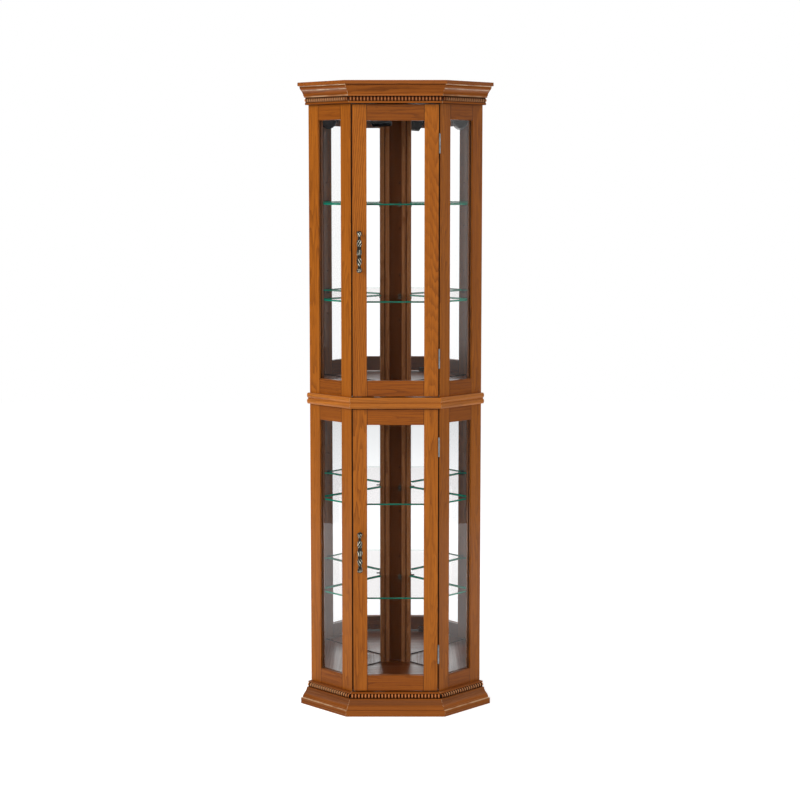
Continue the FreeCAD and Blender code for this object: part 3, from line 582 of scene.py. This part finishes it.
# The radius of the necks, and how the front's crests are sharpened.
NECK, SHARPER = 0.0032, 1.8
bead_wood = bead_oak()
for course, middle in (("crown", CROWN_BEADS), ("plinth", PLINTH_BEADS)):
    beads = eased(course + "_beads", "cabinet", bead_wood, ease=0.001)
    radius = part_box(course + "_beads")[1].z - middle
    crest = beads.data.attributes.new("crest", "FLOAT", "POINT")
    for index, vertex in enumerate(beads.data.vertices):
        x, y, z = vertex.co
        front = -y - FRONT_FACE - CHANNEL_FLOOR
        side = (abs(x) - y) / math.sqrt(2) - SIDE_FACE - CHANNEL_FLOOR
        reach = math.hypot(z - middle, max(front, side, 0))
        proud = min(1, max(0, (reach - NECK) / (radius - NECK)))
        crest.data[index].value = proud ** (SHARPER if side > front else 1)

# ---- Corner posts ---------------------------------------------------------------
# One fluted post in each bay stands in the rear corner over the joint of the mirrors.
# It is darker than the frames, and its holes take the shelf supports.
WALNUT = (tint(172, 116, 74), tint(144, 92, 56), tint(62, 31, 12))
RUBBED = {"Specular IOR Level": 0.03}
POST_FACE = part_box("lower_corner_post")[0].y


def post_hollows_darker(wood, x, y, z):
    """The grooves and the flute are darker."""
    hollow = (y - POST_FACE).rise(0.0012, 0.0032)
    return (hollow * 0.85).mix(wood, tint(76, 33, 6))


# Near-black tones for the faces inside the holes: painted shade.
HOLE_SHADE_TONES = (tint(18, 8, 4), tint(12, 5, 3), tint(5, 2, 1))
BAY_FLOORS = (("lower", 0.061), ("upper", 0.9015))
# The holes' line, radius and spacing, how far a peg lies below its shelf, and the shelves'
# undersides above each bay's floor.
HOLE_ACROSS, HOLE_RADIUS, HOLE_STEP, PEG_DROP = 0.012, 0.0031, 0.066, 0.0045
SHELF_RISE = (0.262, 0.532)
post_wood = oak("post_oak", "up", tones=WALNUT, shine=RUBBED, stain_and_shading=post_hollows_darker)
hole_shade = oak("hole_shade_oak", "up", tones=HOLE_SHADE_TONES, polish=0.7)
for bay, floor in BAY_FLOORS:
    post = eased(bay + "_corner_post", "cabinet", post_wood, ease=0.0005, run=UP)
    post.data.materials.append(hole_shade)
    holes = [floor + rise - PEG_DROP + step * HOLE_STEP for rise in SHELF_RISE
             for step in (-1, 0, 1)]
    for face in post.data.polygons:
        x, y, z = face.center
        if min(math.hypot(x - HOLE_ACROSS, z - hole) for hole in holes) < HOLE_RADIUS:
            # Painted shade inside the hole.
            face.material_index = 1

# ---- Side frames ----------------------------------------------------------------
# Each side of each bay is a glazed frame: two stiles, two rails between them, and a
# pane in a groove. The inner faces of the stiles are drilled for the shelf supports.
BRONZE = (tint(160, 88, 22), tint(130, 66, 13), tint(66, 28, 6))


def shouldered(half_length, middle=0.0):
    """A line of dark stain at both ends of a rail, where its shoulders meet the stiles."""
    def shoulder(wood, x, y, z):
        ends = abs(x - middle).rise(half_length - 0.0020, half_length - 0.0012)
        return (ends * 0.8).mix(wood, tint(46, 20, 6))

    return shoulder


def behind(y, face):
    """0 on the outer face of a frame, and 1 on its faces within the cabinet."""
    return (y - face).rise(0.004, 0.006)


def inner_shade(face, other=None, shade_share=0.55):
    """The faces within the cabinet are painted darker and greyer, as shade. The other callback
    goes first.
    """
    def inner_shaded(wood, x, y, z):
        wood = other(wood, x, y, z) if other else wood
        # Painted shade on the faces within the cabinet.
        return (behind(y, face) * shade_share).mix(wood, tint(84, 70, 58))

    return inner_shaded


def inner_gloss(face):
    """The inner faces of a frame keep a full gloss. Its outer face is rubbed down."""
    return lambda x, y, z: behind(y, face) * 0.6 + 0.05


for side, turn, way in RUNS[1:]:
    spin = Matrix.Rotation(math.radians(turn), 3, "Z")
    inner = inner_gloss(-SIDE_FACE)
    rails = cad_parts[f"lower_{side}_side_rails"].data
    ends = [(spin @ vertex.co).x for vertex in rails.vertices]
    shoulder_stain = shouldered((max(ends) - min(ends)) / 2, (max(ends) + min(ends)) / 2)
    shaded_rail, shaded_stile = inner_shade(-SIDE_FACE, shoulder_stain), inner_shade(-SIDE_FACE)
    stile_wood = oak(side + "_stile_oak", "up", turn, stain_and_shading=shaded_stile, coat=inner)
    frame_rail_wood = oak(side + "_rail_oak", "along", turn, BRONZE, stain_and_shading=shaded_rail, coat=inner)
    for bay in BAYS:
        eased(f"{bay}_{side}_side_stiles", "cabinet", stile_wood)
        eased(f"{bay}_{side}_side_rails", "cabinet", frame_rail_wood)


def clear_glass(name, index, colour, share=1.0):
    """Sheet glass lets light straight through, and mirrors a share of what Fresnel says."""
    material, shade = new_finish(name)
    clear = shade.node("ShaderNodeBsdfTransparent", None, {"Color": colour})
    gloss = shade.node("ShaderNodeBsdfGlossy", None, {"Roughness": 0.0})
    fresnel = shade.node("ShaderNodeFresnel", None, {"IOR": index})
    front = 1 - shade.node("ShaderNodeNewGeometry", out="Backfacing")
    close(shade, shade.node("ShaderNodeMixShader", None, {
        0: fresnel * front * share, 1: clear, 2: gloss,
    }))
    return material


def kept(node, material):
    """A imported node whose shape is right, with its own finish."""
    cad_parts[node].data.materials[0] = material


side_pane = clear_glass("side_pane_glass", 1.62, (1, 1, 1, 1))
door_pane = clear_glass("door_pane_glass", 1.12, (1, 1, 1, 1))
for bay in BAYS:
    for glass, pane in (("left_side", side_pane), ("right_side", side_pane), ("door", door_pane)):
        kept(f"{bay}_{glass}_glass", pane)

# ---- Shelves --------------------------------------------------------------------
# Four loose plates of 5 mm float glass with ground and polished edges, which show the
# green of the glass.


def shelf_edge(name, low, high, one_way):
    """The edge is green in its depth. One that is one-way is clear from within the glass."""
    material, shade = new_finish(name)
    band = noise(*axes(shade), (30, 30, 900), 3.0).rise(0.3, 0.7)
    edge = shade.node("ShaderNodeBsdfPrincipled", None, {
        "Base Color": band.mix(low, high), "Roughness": 0.12 + band * 0.1,
        "Specular IOR Level": 0.15,
    })
    through = shade.node("ShaderNodeNewGeometry", out="Backfacing") * (1.0 if one_way else 0.0)
    clear = shade.node("ShaderNodeBsdfTransparent", None, {"Color": (0.86, 0.90, 0.885, 1)})
    close(shade, shade.node("ShaderNodeMixShader", None, {0: through, 1: edge, 2: clear}))
    return material


plate = clear_glass("shelf_glass", 1.06, (0.925, 0.912, 0.910, 1), share=0.25)
front_edge = shelf_edge("front_edge_glass", tint(4, 76, 60), tint(16, 110, 86), True)
back_edge = shelf_edge("back_edge_glass", tint(4, 112, 88), tint(24, 150, 120), False)
for bay in BAYS:
    for place in ("bottom", "top"):
        shelf = eased(f"{bay}_{place}_shelf", "cabinet", plate, 0.0007, flat=True)
        shelf.data.materials.append(front_edge)
        shelf.data.materials.append(back_edge)
        for face in shelf.data.polygons:
            flat = abs(face.normal.z) > 0.9 or (face.normal.y > 0.6 and abs(face.normal.x) < 0.2)
            front = face.normal.y < -0.6 and abs(face.normal.x) < 0.2
            face.material_index = 0 if flat else 1 if front else 2

# ---- Shelf supports -------------------------------------------------------------
# Pressed steel brackets with a peg behind: five under each shelf, a tab below the
# glass and a plate up behind it.
eased("shelf_supports", "cabinet",
      even_finish("support_bronze", tint(44, 38, 32), tint(92, 82, 70), 0.3), ease=0.0003)

# ---- Doors ----------------------------------------------------------------------
# Two glazed doors, one above the other, framed as the sides are: stiles at full height
# with the rails between them. Each moves with its own leaves, pull and strike.
DOOR_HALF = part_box("lower_door_stiles")[1].x
DOOR_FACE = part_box("lower_door_stiles")[0].y


def edge_gap_shade(wood, x, y, z):
    """The edges of a door are painted dark as shade in the gap round it, so that the gap looks
    even.
    """
    edge = abs(x).rise(DOOR_HALF - 0.0014, DOOR_HALF - 0.0007)
    # Painted shade on the door's edges.
    return (edge * 0.85).mix(wood, tint(38, 18, 8))


def rail_joints_and_shade(wood, x, y, z):
    """The upper door's top rail is painted darker than the other three, as shade under the crown.
    """
    wood = shouldered(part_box("lower_door_rails")[1].x)(wood, x, y, z)
    # Painted shade on the upper door's top rail; the shoulders' dark joint lines come first.
    return (z.rise(*PAST_WAIST) * 0.26).mix(wood, tint(54, 26, 14))


GOLDEN = (tint(186, 107, 30), tint(155, 83, 18), tint(80, 34, 6))
COPPER = (tint(167, 92, 24), tint(136, 69, 14), tint(69, 29, 6))
UPPER_HEART = (0.108, DOOR_FACE + 0.03, 0.11)
inner = inner_gloss(DOOR_FACE)
door_shade = inner_shade(DOOR_FACE, edge_gap_shade, 0.35)
upper_stile_wood = oak("door_stile_oak", "up", tones=GOLDEN, heart=UPPER_HEART,
                       stain_and_shading=door_shade, coat=inner)
lower_stile_wood = oak("lower_door_stile_oak", "up", tones=GOLDEN, stain_and_shading=door_shade, coat=inner)
door_rail_wood = oak("door_rail_oak", "along", tones=COPPER,
                     stain_and_shading=inner_shade(DOOR_FACE, rail_joints_and_shade, 0.35), coat=inner)
for bay, stile_wood in (("lower", lower_stile_wood), ("upper", upper_stile_wood)):
    door = bay + "_door"
    eased(door + "_stiles", door, stile_wood)
    eased(door + "_rails", door, door_rail_wood)

# ---- Door stops -----------------------------------------------------------------
# Laths of near-black oak, pinned to the edges of the frames behind each door's long edges. They
# stop the door and close the gap beside it; their near-black is painted shade in that gap.
# Near-black tones for the laths: painted shade in the gaps beside the doors.
GAP_SHADE_TONES = (tint(44, 24, 12), tint(34, 18, 8), tint(16, 8, 3))
LATH_WIDTH, LATH_DEPTH, LATH_ACROSS, LATH_BEHIND = 0.0042, 0.0065, 0.12045, -0.14065
gap_shade_wood = oak("gap_shade_oak", "up", tones=GAP_SHADE_TONES, polish=0.6)
for bay in BAYS:
    foot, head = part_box(bay + "_door_stiles")[0].z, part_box(bay + "_door_stiles")[1].z
    size = (LATH_WIDTH, LATH_DEPTH, head - foot)
    for side, way in (("left", -1), ("right", 1)):
        bpy.ops.object.select_all(action="DESELECT")
        middle = (way * LATH_ACROSS, LATH_BEHIND, (foot + head) / 2)
        bpy.ops.mesh.primitive_cube_add(size=1, location=middle, scale=size)
        bpy.ops.object.transform_apply(location=True, rotation=False, scale=True)
        bpy.ops.object.mode_set(mode="EDIT")
        bpy.ops.mesh.select_all(action="SELECT")
        bpy.ops.mesh.bevel(offset=0.0006, segments=2)
        bpy.ops.object.mode_set(mode="OBJECT")
        lath = bpy.context.object
        lath.name = f"{bay}_{side}_door_stop"
        lath.data.materials.append(gap_shade_wood)
        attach(lath, "cabinet")

# ---- Pulls ----------------------------------------------------------------------
# Cast pewter pulls, blackened and rubbed bright on the crests: a flared top, two rope
# twists, a fluted urn between them and a ball at the foot, on two posts with roses.


def softened(outline, steps):
    """More rings between the given ones, eased in and out."""
    rings = []
    for (low, thin), (high, thick) in zip(outline, outline[1:]):
        for step in range(steps):
            share = step / steps
            ease = share * share * (3 - 2 * share)
            rings.append((low + (high - low) * share, thin + (thick - thin) * ease))
    return rings + outline[-1:]


def cast(piece, zones):
    """Raises lobes round a turning between two heights, turned by twist from end to end,
    and keeps how far each point stands proud in the attribute rub."""
    rub = piece.data.attributes.new("rub", "FLOAT", "POINT")
    for index, vertex in enumerate(piece.data.vertices):
        x, y, z = vertex.co
        rub.data[index].value = 0.45
        for low, high, lobes, twist, depth in zones:
            share = (z - low) / (high - low)
            if 0 < share < 1:
                angle = math.atan2(y, x) + twist * share
                wave = abs(math.cos(angle * lobes / 2)) * 2 - 1.2
                wave *= min(1, math.sin(math.pi * share) * 1.8)
                scale = 1 + depth * wave
                vertex.co.x, vertex.co.y = x * scale, y * scale
                rub.data[index].value = 0.5 + 0.5 * wave


def antique_pewter():
    """Black in the hollows and bright on the crests, by the attribute rub."""
    material, shade = new_finish("antique_pewter")
    x, y, z = axes(shade)
    rub = shade.node("ShaderNodeAttribute", {"attribute_name": "rub"}, out="Fac")
    tarnish = noise(x, y, z, (500, 500, 500), 4.0, 0.65)
    highlighted = noise(x, y, z, (130, 130, 90), 2.0).rise(0.42, 0.58)
    bright = (rub + tarnish * 0.5 - 0.25).rise(0.52, 0.90) * (0.35 + highlighted * 0.65)
    colour = bright.mix(tint(52, 50, 44), tint(214, 210, 192))
    surface(shade, colour, 0.44 - bright * 0.2, tarnish, 0.00008, {"Metallic": 1.0})
    return material


GRIP = [
    (-57.5, 1.2), (-56.9, 3.9), (-55.5, 5.8), (-53.5, 6.8), (-51.0, 7.1), (-48.0, 6.2),
    (-45.5, 4.6), (-43.8, 4.1), (-42.7, 4.6), (-41.5, 4.6), (-40.4, 4.0), (-37.5, 4.1),
    (-34.0, 5.2), (-30.5, 6.2), (-26.5, 6.5), (-22.5, 6.3), (-18.5, 5.7), (-15.5, 5.1),
    (-13.9, 5.6), (-12.9, 5.9), (-11.9, 5.6), (-10.5, 5.2), (-8.5, 5.8), (-6.0, 6.6),
    (-3.5, 7.1), (0.0, 7.2), (4.0, 7.0), (6.5, 6.2), (8.0, 5.5), (9.4, 5.4), (10.6, 5.9),
    (11.9, 5.8), (13.5, 5.3), (16.5, 5.6), (20.5, 6.2), (24.5, 6.5), (28.5, 6.2),
    (32.0, 5.1), (35.0, 4.0), (36.5, 3.7), (37.8, 4.4), (39.1, 4.4), (40.4, 3.6),
    (43.0, 3.9), (46.5, 4.8), (50.0, 5.9), (53.0, 6.5), (55.5, 6.5), (56.8, 5.6),
    (57.3, 4.2), (57.5, 1.2),
]
ROSE = [(0.0, 6.0), (0.7, 6.0), (1.2, 5.4), (1.5, 4.9), (2.0, 4.7), (2.6, 4.1), (3.2, 3.4),
        (6.0, 3.1), (10.0, 3.0), (12.0, 3.3), (13.0, 3.7), (14.0, 3.7), (15.0, 3.3), (19.0, 3.3)]
MM = 0.001
PULL_AXIS, POST_SPREAD = -0.183425, 0.049
pewter = antique_pewter()
for bay in BAYS:
    low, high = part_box(bay + "_door_handle")
    middle = Vector(((low.x + high.x) / 2, PULL_AXIS, (low.z + high.z) / 2))
    grip = turned(softened([(height * MM, radius * MM) for height, radius in GRIP], 3), 72)
    cast(grip, (
        (-0.0555, -0.0455, 10, 0.0, 0.045), (-0.040, -0.0152, 5, 2.6, 0.16),
        (-0.0105, 0.0070, 9, 0.0, 0.07), (0.0132, 0.0360, 5, -2.6, 0.16),
        (0.0405, 0.0555, 6, 1.4, 0.13),
    ))
    grip.data.transform(Matrix.Translation(middle))
    parts = [grip]
    for way in (-1, 1):
        rose = turned([(height * MM, radius * MM) for height, radius in ROSE], 40)
        cast(rose, ((0.0, 0.0026, 10, 0.0, 0.08),))
        rose.data.transform(Matrix.Rotation(math.radians(90), 4, "X"))
        place = Vector((middle.x, -FRONT_FACE, middle.z + way * POST_SPREAD))
        rose.data.transform(Matrix.Translation(place))
        parts.append(rose)
    bpy.ops.object.select_all(action="DESELECT")
    for part in parts:
        part.select_set(True)
    bpy.context.view_layer.objects.active = grip
    bpy.ops.object.join()
    bpy.ops.object.shade_smooth_by_angle(angle=math.radians(50))
    grip.name = bay + "_door_pull"
    grip.data.materials.append(pewter)
    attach(grip, bay + "_door")
    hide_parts(bay + "_door_handle")

# ---- Hinges ---------------------------------------------------------------------
# Four steel butt hinges, bright plated, their leaves let in between door and frame.
# Three countersunk screws hold each leaf.


def screw(radius):
    """A countersunk screw's head on the z axis, with a cross cut into it."""
    outline = ((-0.0006, 0.7), (0.0, 1.0), (0.0001, 0.97), (0.00022, 0.7))
    head = turned([(height, radius * share) for height, share in outline], 20)
    for across, along in ((0.22, 1.1), (1.1, 0.22)):
        bpy.ops.object.select_all(action="DESELECT")
        size = (radius * across, radius * along, 0.0006)
        bpy.ops.mesh.primitive_cube_add(size=1, location=(0, 0, 0.00034), scale=size)
        cutter = bpy.context.object
        bpy.ops.object.transform_apply(location=True, rotation=False, scale=True)
        cut = head.modifiers.new("cross", "BOOLEAN")
        cut.object, cut.operation = cutter, "DIFFERENCE"
        bpy.context.view_layer.objects.active = head
        bpy.ops.object.modifier_apply(modifier="cross")
        bpy.data.objects.remove(cutter)
    return head


def screws(name, model, places, out, body, finish):
    """Screws with their heads on the given points, facing out, each turned differently."""
    facing = Vector(out).to_track_quat("Z", "Y").to_matrix().to_4x4()
    spots = [Matrix.Translation(place) @ facing @ Matrix.Rotation(0.9 * index, 4, "Z")
             for index, place in enumerate(places)]
    joined(name, model.data, spots, body, finish)


hinge_steel = even_finish("hinge_steel", tint(88, 94, 98), tint(150, 156, 160), 0.3)
screw_steel = even_finish("screw_steel", tint(104, 106, 106), tint(168, 170, 168), 0.28)
leaf_screw = screw(0.0026)
# Where the leaves' screwed faces stand, the line of their screws and the screws' spacing.
DOOR_LEAF, FRAME_LEAF, LEAF_MIDDLE, SCREW_STEP = 0.120667, 0.121567, -0.1555, 0.018
HINGE_HEIGHTS = {"lower": (0.1695, 0.762), "upper": (1.010, 1.6025)}
kept("frame_hinge_leaves", hinge_steel)
for bay, hinges in HINGE_HEIGHTS.items():
    door = bay + "_door"
    kept(door + "_hinge_leaves", hinge_steel)
    heights = [middle + step * SCREW_STEP for middle in hinges for step in (-1, 0, 1)]
    leaves = (("door", DOOR_LEAF, 1, door), ("frame", FRAME_LEAF, -1, "cabinet"))
    for part, x, way, body in leaves:
        places = [Vector((x, LEAF_MIDDLE, height)) for height in heights]
        screws(f"{bay}_{part}_hinge_screws", leaf_screw, places, (way, 0, 0), body,
               screw_steel)
bpy.data.objects.remove(leaf_screw)

# ---- Catches --------------------------------------------------------------------
# A magnet in a brown moulded case is screwed to each bay's floor just behind the door,
# and the door carries a small steel strike plate.
case_brown = even_finish("catch_brown", tint(84, 52, 30), tint(106, 68, 42), 0.4, metallic=0.0)
magnet_grey = even_finish("magnet_grey", tint(60, 60, 62), tint(92, 92, 94), 0.4)
strike_steel = even_finish("strike_steel", tint(150, 152, 154), tint(200, 202, 204), 0.25)
catches = eased("door_catches", "cabinet", case_brown, ease=0.0007)
catches.data.materials.append(magnet_grey)
MAGNET_PROUD = 0.0019
case_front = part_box("door_catches")[0].y + MAGNET_PROUD
for face in catches.data.polygons:
    face.material_index = 1 if face.center.y < case_front else 0
small_screw = screw(0.0022)
# How far the strike's foot lies above the case's, the case's height and the line of its
# screws, and the screws' distance from the middle of strike and case.
STRIKE_RISE, CASE_HEIGHT, CASE_SCREWS = 0.0035, 0.012, -0.1340
STRIKE_SPREAD, CASE_SPREAD, SUNK = 0.013, 0.012, 0.00008
for bay in BAYS:
    low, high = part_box(bay + "_door_strike")
    eased(bay + "_door_strike", bay + "_door", strike_steel, ease=0.0003)
    middle = (low + high) / 2
    places = [Vector((middle.x + way * STRIKE_SPREAD, high.y - SUNK, middle.z))
              for way in (-1, 1)]
    screws(bay + "_strike_screws", small_screw, places, (0, 1, 0), bay + "_door",
           screw_steel)
    top = low.z - STRIKE_RISE + CASE_HEIGHT
    places = [Vector((middle.x + way * CASE_SPREAD, CASE_SCREWS, top)) for way in (-1, 1)]
    screws(bay + "_catch_screws", small_screw, places, (0, 0, 1), "cabinet",
           screw_steel)

# ---- Lamp -----------------------------------------------------------------------
# A black enamelled can hangs between two ears under the ceiling and turns on their
# pins. Its pressed lens has rings, and its lead leaves by a rubber bush at the back.
enamel, enamel_shade = new_finish("black_enamel")
peel = noise(*axes(enamel_shade), (700, 700, 700), 3.0)
black = peel.rise(0.35, 0.65).mix(tint(3, 4, 7), tint(9, 11, 17))
surface(enamel_shade, black, 0.2 + peel * 0.12, peel, 0.00003, {"Specular IOR Level": 0.3})
kept("lamp_can", enamel)
kept("lamp_bracket", enamel)
LENS_FACE, RING_STEP = 20.6, 1.7
rings = [(-1.5, LENS_FACE), (-1.2, 21.3), (0.9, 21.3), (1.2, LENS_FACE)]
for step in range(1, 12):
    radius = LENS_FACE - step * RING_STEP
    rings += [(0.85 + step * 0.05, radius + 0.5), (1.25 + step * 0.05, radius)]
lens = turned([(height * MM, radius * MM) for height, radius in rings], 48)
low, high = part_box("lamp_lens")
LAMP_TILT = math.radians(4)
aim = Vector((-math.cos(LAMP_TILT), 0, -math.sin(LAMP_TILT)))
aim = aim.to_track_quat("Z", "Y").to_matrix().to_4x4()
lens.data.transform(Matrix.Translation((low + high) / 2) @ aim)
bpy.ops.object.shade_smooth_by_angle(angle=math.radians(25))
lens.name = "lamp_ringed_lens"
frost = even_finish("lamp_frost", tint(78, 82, 88), tint(104, 108, 114), 0.3, metallic=0.0)
lens.data.materials.append(frost)
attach(lens, "lamp")
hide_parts("lamp_lens")
BASE_ACROSS, BASE_SPREAD, BASE_FACE = -0.090, 0.019, 1.701
places = [Vector((BASE_ACROSS, way * BASE_SPREAD, BASE_FACE)) for way in (-1, 1)]
screws("lamp_base_screws", small_screw, places, (0, 0, -1), "cabinet", screw_steel)
bpy.data.objects.remove(small_screw)
kept("cord_grommet", even_finish("rubber", tint(26, 26, 27), tint(40, 40, 42), 0.6, metallic=0.0))

# ---- Studio ---------------------------------------------------------------------
# A pale floor, soft light from the upper left, a weaker fill from the right, and a
# camera at a standing eye. In the glass, the side walls are dark but for one screen.


def grey(level):
    return level, level, level, 1.0


world = bpy.data.worlds.new("studio")
bpy.context.scene.world = world
world.use_nodes = True
world.node_tree.nodes.clear()
sky = Shade(world.node_tree)
camera_ray = sky.node("ShaderNodeLightPath", out="Is Camera Ray")
seen = camera_ray.most(camera_ray.other("Is Glossy Ray"))
seen = seen.most(camera_ray.other("Is Transmission Ray"))
way = sky.node("ShaderNodeTexCoord", out="Generated")
way = way.node("ShaderNodeSeparateXYZ", None, {0: way})
screen = way.rise(0.0, 0.1) * way.other(2).rise(-0.115, -0.085)
walls = screen.mix(grey(0.10), grey(1.05))
sideways = abs(way).rise(0.6, 0.85)
room = sideways.mix(grey(1.08), walls)
room = camera_ray.mix(room, grey(1.0))
level = seen.mix((0.46, 0.465, 0.475, 1), room)
background = sky.node("ShaderNodeBackground", None, {"Color": level, "Strength": 1.0})
close(sky, background, "ShaderNodeOutputWorld")

bpy.ops.object.select_all(action="DESELECT")
bpy.ops.mesh.primitive_plane_add(size=14, location=(0, 0, 0))
floor = bpy.context.object
floor.data.transform(Matrix.Diagonal((0.42, 1, 1, 1)))
floor.name = "studio_floor"
paper, shade = new_finish("floor_paper")
place = shade.node("ShaderNodeTexCoord", out="Object")
fibre = shade.node("ShaderNodeTexNoise", None, {"Vector": place, "Scale": 60.0})
floor_ray = shade.node("ShaderNodeLightPath", out="Is Camera Ray")
floor_seen = floor_ray.most(floor_ray.other("Is Glossy Ray"))
floor_seen = floor_seen.most(floor_ray.other("Is Transmission Ray"))
aside = abs(shade.node("ShaderNodeSeparateXYZ", None, {0: place})).rise(0.8, 1.2)
in_glass = aside.mix(grey(0.57), grey(1.9))
shader = shade.node("ShaderNodeBsdfPrincipled", None, {
    "Base Color": fibre.mix(grey(0.80), grey(0.82)),
    "Roughness": 0.9, "Specular IOR Level": 0.0,
    "Emission Color": floor_seen.mix(grey(0.0), floor_ray.mix(in_glass, grey(1.0))),
    "Emission Strength": 0.62,
})
close(shade, shader)
floor.data.materials.append(paper)


def softbox(name, place, aim, size, power, mirrored=True):
    """A rectangle of light that the camera doesn't see, and mirrors only if they may."""
    lamp = bpy.data.lights.new(name, "AREA")
    lamp.shape = "RECTANGLE"
    lamp.size, lamp.size_y = size
    lamp.energy = power
    holder = bpy.data.objects.new(name, lamp)
    bpy.context.scene.collection.objects.link(holder)
    holder.location = place
    holder.visible_camera = False
    holder.visible_glossy = mirrored
    holder.rotation_euler = (Vector(aim) - Vector(place)).to_track_quat("-Z", "Y").to_euler()


softbox("key", (-3.2, -2.6, 2.9), (0, 0, 0.9), (1.8, 2.4), 125, mirrored=False)
softbox("fill", (3.0, -3.0, 1.8), (0, 0, 0.9), (1.6, 2.2), 24)
for name, way in (("left", -1), ("right", 1)):
    softbox(f"rim_{name}_high", (way * 2.1, 1.8, 2.75), (0, 0, 0.1), (0.4, 0.7), 6)
    softbox(f"rim_{name}_low", (way * 1.5, 1.2, 0.1), (0, 0, 1.74), (1.0, 0.25), 5)

LOOKING_DOWN = 6.53
camera = bpy.data.cameras.new("camera")
camera.lens = 80.4
camera.shift_x = 0.0056
camera.shift_y = -0.018
eye = bpy.data.objects.new("camera", camera)
bpy.context.scene.collection.objects.link(eye)
eye.location = (0, -5.1, 1.5)
eye.rotation_euler = (math.radians(90 - LOOKING_DOWN), 0, 0)
bpy.context.scene.camera = eye
bpy.context.scene.view_settings.view_transform = "Standard"
